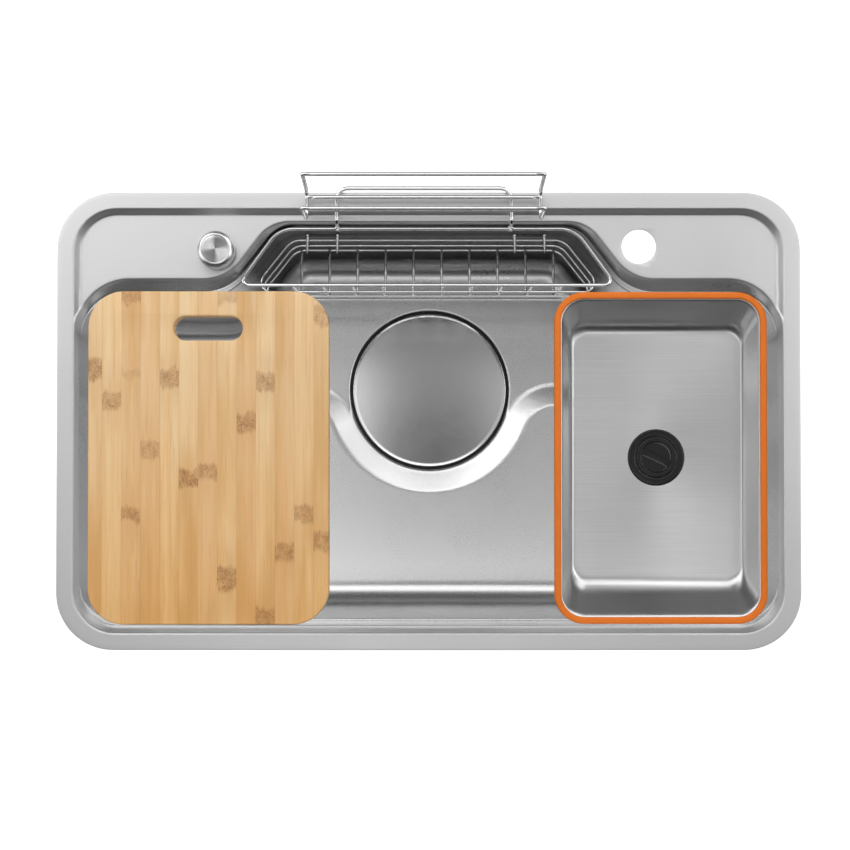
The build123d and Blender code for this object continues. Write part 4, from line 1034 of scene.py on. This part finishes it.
def pan_piece():
    top_z = PAN_FLANGE_Z + PAN_T
    per = (16, (14, 18))

    def rect(v, z):
        o = rounded_rect(v[0], v[1], v[2], v[3], v[4], *per)
        return np.column_stack([o, np.full(len(o), z)])

    rows = []
    for i in (2.0, 4.0, 6.5):
        rows.append(rect(np.array([PAN[0] + i, PAN[1] - i, PAN[2] + i, PAN[3] - i, 32.0 - i]), top_z))
    for w in (-0.09, -0.05, -0.02, 0.01, 0.04, 0.08, 0.14, 0.24, 0.36, 0.48, 0.58, 0.66, 0.73, 0.79, 0.85, 0.91, 0.97, 1.03, 1.09, 1.15, 1.21, 1.27, 1.34):
        v = PAN_OPEN * (1 - w) + PAN_FOOT * w
        v[4] = max(v[4], 14.0)
        z = top_z - PAN_DEPTH * float(ramp(np.array(w), 0.08) - ramp(np.array(w - 1.0), 0.32))
        rows.append(rect(v, z))
    outer = rows[-1][:, :2]
    ang = np.unwrap(np.arctan2(outer[:, 1] - PLUG[1], outer[:, 0] - PLUG[0]))
    circle = np.column_stack([PLUG[0] + 24.0 * np.cos(ang), PLUG[1] + 24.0 * np.sin(ang)])
    for f in np.linspace(0, 1, 26)[1:]:
        xy = outer * (1 - f) + circle * f
        rows.append(np.column_stack([xy, np.full(len(xy), PAN_FLOOR)]))
    top = np.array(rows)
    du = np.roll(top, -1, 1) - np.roll(top, 1, 1)
    dv = np.gradient(top, axis=0)
    nrm = np.cross(du, dv)
    nrm /= np.linalg.norm(nrm, axis=2, keepdims=True)
    nrm = np.where(nrm[:, :, 2:3] < 0, -nrm, nrm)
    under = top - nrm * PAN_T
    b = Build()
    n, nr = top.shape[1], top.shape[0]
    st = b.rows(list(top), True, flip=False)
    su = b.rows(list(under), True, flip=True)
    for i in range(n):
        j = (i + 1) % n
        b.f.append((st + j, st + i, su + i, su + j))
        lt, lu = st + (nr - 1) * n, su + (nr - 1) * n
        b.f.append((lt + i, lt + j, lu + j, lu + i))
    return add_object("pan_shell", b.v, b.f, 45)


finish_piece(pan_piece(), "pan", M_PAN.m, ("prep_pan",))

b = Build()
rim_rows = []
for i, z in (
    (0.0, -19.0), (0.0, -15.2), (0.2, -14.4), (0.7, -13.8), (1.5, -13.35), (2.6, -13.2), (4.9, -13.2), (5.9, -13.35), (6.6, -13.75),
    (7.1, -14.4), (7.3, -15.2), (7.3, -15.86), (2.05, -15.86), (2.05, -16.74), (7.3, -16.74), (7.3, -19.2), (6.9, -19.6), (6.4, -19.7), (0.8, -19.7), (0.3, -19.5),
):
    o = rounded_rect(PAN[0] + i, PAN[1] - i, PAN[2] + i, PAN[3] - i, 32.0 - i, 18, (16, 20))
    rim_rows.append(np.column_stack([o, np.full(len(o), z)]))
b.rows(rim_rows, True, flip=False, wrap=True)
finish_piece(add_object("pan_soft_rim", b.v, b.f, 50), "pan", M_ORANGE.m, ("pan_rim_seal",))

b = Build()
pz = PAN_FLOOR
lathe(b, *PLUG, [
    (20.4, pz - 16), (23.8, pz - 16), (23.8, pz), (31.0, pz), (31.0, pz + 0.9), (30.7, pz + 1.5), (30.0, pz + 2.0), (29.0, pz + 2.2), (24.4, pz + 2.2),
    (23.4, pz + 2.05), (22.8, pz + 1.6), (22.6, pz + 1.0), (22.6, pz), (20.4, pz),
])
finish_piece(add_object("pan_waste_ring", b.v, b.f, 50), "pan", M_BLACK.m, ("pan_waste_flange",))


def plug_piece():
    b = Build()
    s = lathe(b, *PLUG, [
        (0.4, pz - 10.0), (17.2, pz - 10.0), (17.6, pz - 9.6), (17.6, pz + 0.3), (22.0, pz + 0.3), (22.3, pz + 0.6), (22.3, pz + 3.8), (22.1, pz + 4.4),
        (21.5, pz + 4.85), (20.6, pz + 5.0), (18.2, pz + 5.0), (17.6, pz + 4.9), (17.2, pz + 4.5), (16.9, pz + 4.1), (16.4, pz + 4.0), (0.4, pz + 4.0),
    ], close=False)
    b.cap(s, 96, flip=False)
    b.cap(s + 15 * 96, 96, flip=True)
    ob = add_object("pan_plug_body", b.v, b.f, 40)
    c = Build()
    for sign in (1, -1):
        half = math.asin(3.9 / 15.4)
        o = arc(0, 0, 15.4, half, PI - half, 28) * np.array([1.0, 1.0])
        rot = math.radians(-25.0 + (0 if sign > 0 else 180))
        xy = np.column_stack([o[:, 0] * math.cos(rot) - o[:, 1] * math.sin(rot) + PLUG[0], o[:, 0] * math.sin(rot) + o[:, 1] * math.cos(rot) + PLUG[1]])
        rows = [np.column_stack([xy, np.full(len(xy), z)]) for z in (pz + 1.4, pz + 9.0)]
        k = c.rows(rows, True, flip=False)
        c.cap(k, len(xy), flip=True)
        c.cap(k + len(xy), len(xy), flip=False)
    cutter = add_object("cut_plug", c.v, c.f)
    m = ob.modifiers.new("pockets", "BOOLEAN")
    m.object, m.operation, m.solver = cutter, "DIFFERENCE", "EXACT"
    dg = bpy.context.evaluated_depsgraph_get()
    me = bpy.data.meshes.new_from_object(ob.evaluated_get(dg))
    ob.modifiers.clear()
    # the pockets' edges are slightly rounded
    bm = bmesh.new()
    bm.from_mesh(me)
    edge = [e for e in bm.edges if e.is_manifold and e.calc_face_angle(0.0) > math.radians(60) and all(abs(v.co.z - (pz + 4.0) * MM) < 0.02 * MM for v in e.verts)]
    bmesh.ops.bevel(bm, geom=edge, offset=0.45 * MM, segments=3, profile=0.5, affect="EDGES", clamp_overlap=True)
    bm.to_mesh(me)
    bm.free()
    ob.data = me
    bpy.data.objects.remove(cutter)
    ob.data.shade_smooth()
    ob.data.set_sharp_from_angle(angle=math.radians(40))
    return ob


finish_piece(plug_piece(), "plug", M_BLACK.m, ("pan_plug",))

# the board and the pan let the studio light through to the bowl under them
for name in ("board_slab", "pan_shell", "pan_soft_rim", "pan_waste_ring", "pan_plug_body"):
    SCENE.objects[name].visible_shadow = False
    SCENE.objects[name].visible_glossy = False

# ---------------------------------------------------------------- floor, light, camera
b = Build()
k = 6000.0
b.rows([line((-k, -k, -405.0), (k, -k, -405.0), 5), line((-k, k, -405.0), (k, k, -405.0), 5)], closed=False)
ground = add_object("studio_floor", b.v, b.f, None)
mg = Mat("studio_white", roughness=0.9)
mg.set(color=mg.ramp(mg.noise(3.0), [(0.3, (0.9, 0.9, 0.9)), (0.7, (0.93, 0.93, 0.93))]))
mg.bsdf.inputs["Emission Color"].default_value = (1, 1, 1, 1)
mg.bsdf.inputs["Emission Strength"].default_value = 0.75
ground.data.materials.append(mg.m)
ground.visible_glossy = False

world = bpy.data.worlds.new("studio")
SCENE.world = world
world.use_nodes = True
wn = world.node_tree
bg = wn.nodes["Background"]
sky = wn.nodes.new("ShaderNodeSeparateXYZ")
wn.links.new(wn.nodes.new("ShaderNodeTexCoord").outputs["Generated"], sky.inputs[0])
fade = wn.nodes.new("ShaderNodeValToRGB")
stops = ((0.0, 0.05), (0.55, 0.07), (0.8, 0.25), (0.93, 0.35), (0.985, 0.43), (0.9925, 0.43), (0.9958, 0.3), (0.9975, 0.07), (0.999, 0.02))
while len(fade.color_ramp.elements) < len(stops):
    fade.color_ramp.elements.new(0.5)
for e, (at, level) in zip(fade.color_ramp.elements, stops):
    e.position, e.color = at, (level, level, level, 1.0)
wn.links.new(sky.outputs[2], fade.inputs[0])
dim = wn.nodes.new("ShaderNodeMapRange")  # the front of the room is dark
dim.inputs["From Min"].default_value, dim.inputs["From Max"].default_value = -0.75, -0.42
dim.inputs["To Min"].default_value, dim.inputs["To Max"].default_value = 0.2, 1.0
wn.links.new(sky.outputs[1], dim.inputs["Value"])
gap = wn.nodes.new("ShaderNodeMapRange")  # and so is the gap between the overhead panels and the back panel
gap.inputs["From Min"].default_value, gap.inputs["From Max"].default_value = 0.13, 0.18
gap.inputs["To Min"].default_value, gap.inputs["To Max"].default_value = 1.0, 0.08
wn.links.new(sky.outputs[1], gap.inputs["Value"])
level = fade.outputs[0]
for part in (dim, gap):
    times = wn.nodes.new("ShaderNodeMath")
    times.operation = "MULTIPLY"
    wn.links.new(level, times.inputs[0])
    wn.links.new(part.outputs[0], times.inputs[1])
    level = times.outputs[0]
low = wn.nodes.new("ShaderNodeMath")  # the pale ground seen in the outer walls
low.operation = "LESS_THAN"
low.inputs[1].default_value = 0.0
wn.links.new(sky.outputs[2], low.inputs[0])
total = wn.nodes.new("ShaderNodeMath")
total.operation = "MULTIPLY_ADD"
total.inputs[1].default_value = 0.24
wn.links.new(low.outputs[0], total.inputs[0])
wn.links.new(level, total.inputs[2])
wn.links.new(total.outputs[0], bg.inputs["Strength"])
bg.inputs["Color"].default_value = (1, 1, 1, 1)


def area(name, loc, target, size, power, color=(1, 1, 1)):
    d = bpy.data.lights.new(name, "AREA")
    d.shape = "RECTANGLE"
    d.size, d.size_y = size
    d.energy, d.color = power, color
    o = bpy.data.objects.new(name, d)
    SCENE.collection.objects.link(o)
    o.location = loc
    o.rotation_euler = (Vector(target) - Vector(loc)).to_track_quat("-Z", "Y").to_euler()
    return o


def softbox(name, zenith, azimuth, size, radiance, dist=2.0):
    """Soft panel facing the sink; azimuth runs clockwise from the back, seen from above."""
    t, p = math.radians(zenith), math.radians(azimuth)
    loc = Vector((math.sin(t) * math.sin(p), math.sin(t) * math.cos(p), math.cos(t))) * dist
    area(name, loc, (0.0, 0.0, 0.0), size, radiance * PI * size[0] * size[1])


softbox("softbox_back_right", 61, 38, (1.1, 1.5), 1.8)
softbox("softbox_back_left", 57, -42, (1.2, 1.7), 1.95)
softbox("softbox_back", 44, 0, (1.1, 0.85), 1.62)
softbox("softbox_back_over", 26, 0, (0.9, 0.35), 2.0)
softbox("softbox_right", 60, 92, (1.15, 1.45), 1.15)
softbox("softbox_right_high", 42, 74, (0.8, 0.5), 2.3)
softbox("softbox_left", 66, -92, (1.15, 1.2), 1.3)
softbox("softbox_left_high", 44, -70, (0.95, 0.65), 1.05)
softbox("softbox_over", 15, 185, (1.25, 0.5), 1.4)
softbox("softbox_over_left", 16, -80, (0.6, 0.6), 0.77)
softbox("softbox_over_right", 16, 80, (0.6, 0.6), 0.2)

cam_data = bpy.data.cameras.new("camera")
cam = bpy.data.objects.new("camera", cam_data)
SCENE.collection.objects.link(cam)
TILT = math.radians(0.8)
CAM_H, SCALE = 1.300, 1.0472e-3
NADIR = (425.0, 499.25)
cam_data.sensor_fit = "HORIZONTAL"
cam_data.sensor_width = 36.0
cam_data.lens = 36.0 * CAM_H / (850 * SCALE)
principal = NADIR[1] - math.tan(TILT) * CAM_H / SCALE
cam_data.shift_y = (principal - 425.0) / 850.0
cam.location = (-0.0039, -0.0824, CAM_H + 0.0025)
cam.rotation_euler = (TILT, 0.0, 0.0)
cam_data.clip_start, cam_data.clip_end = 0.05, 50.0
SCENE.camera = cam
SCENE.view_settings.view_transform = "Standard"
SCENE.view_settings.look = "None"
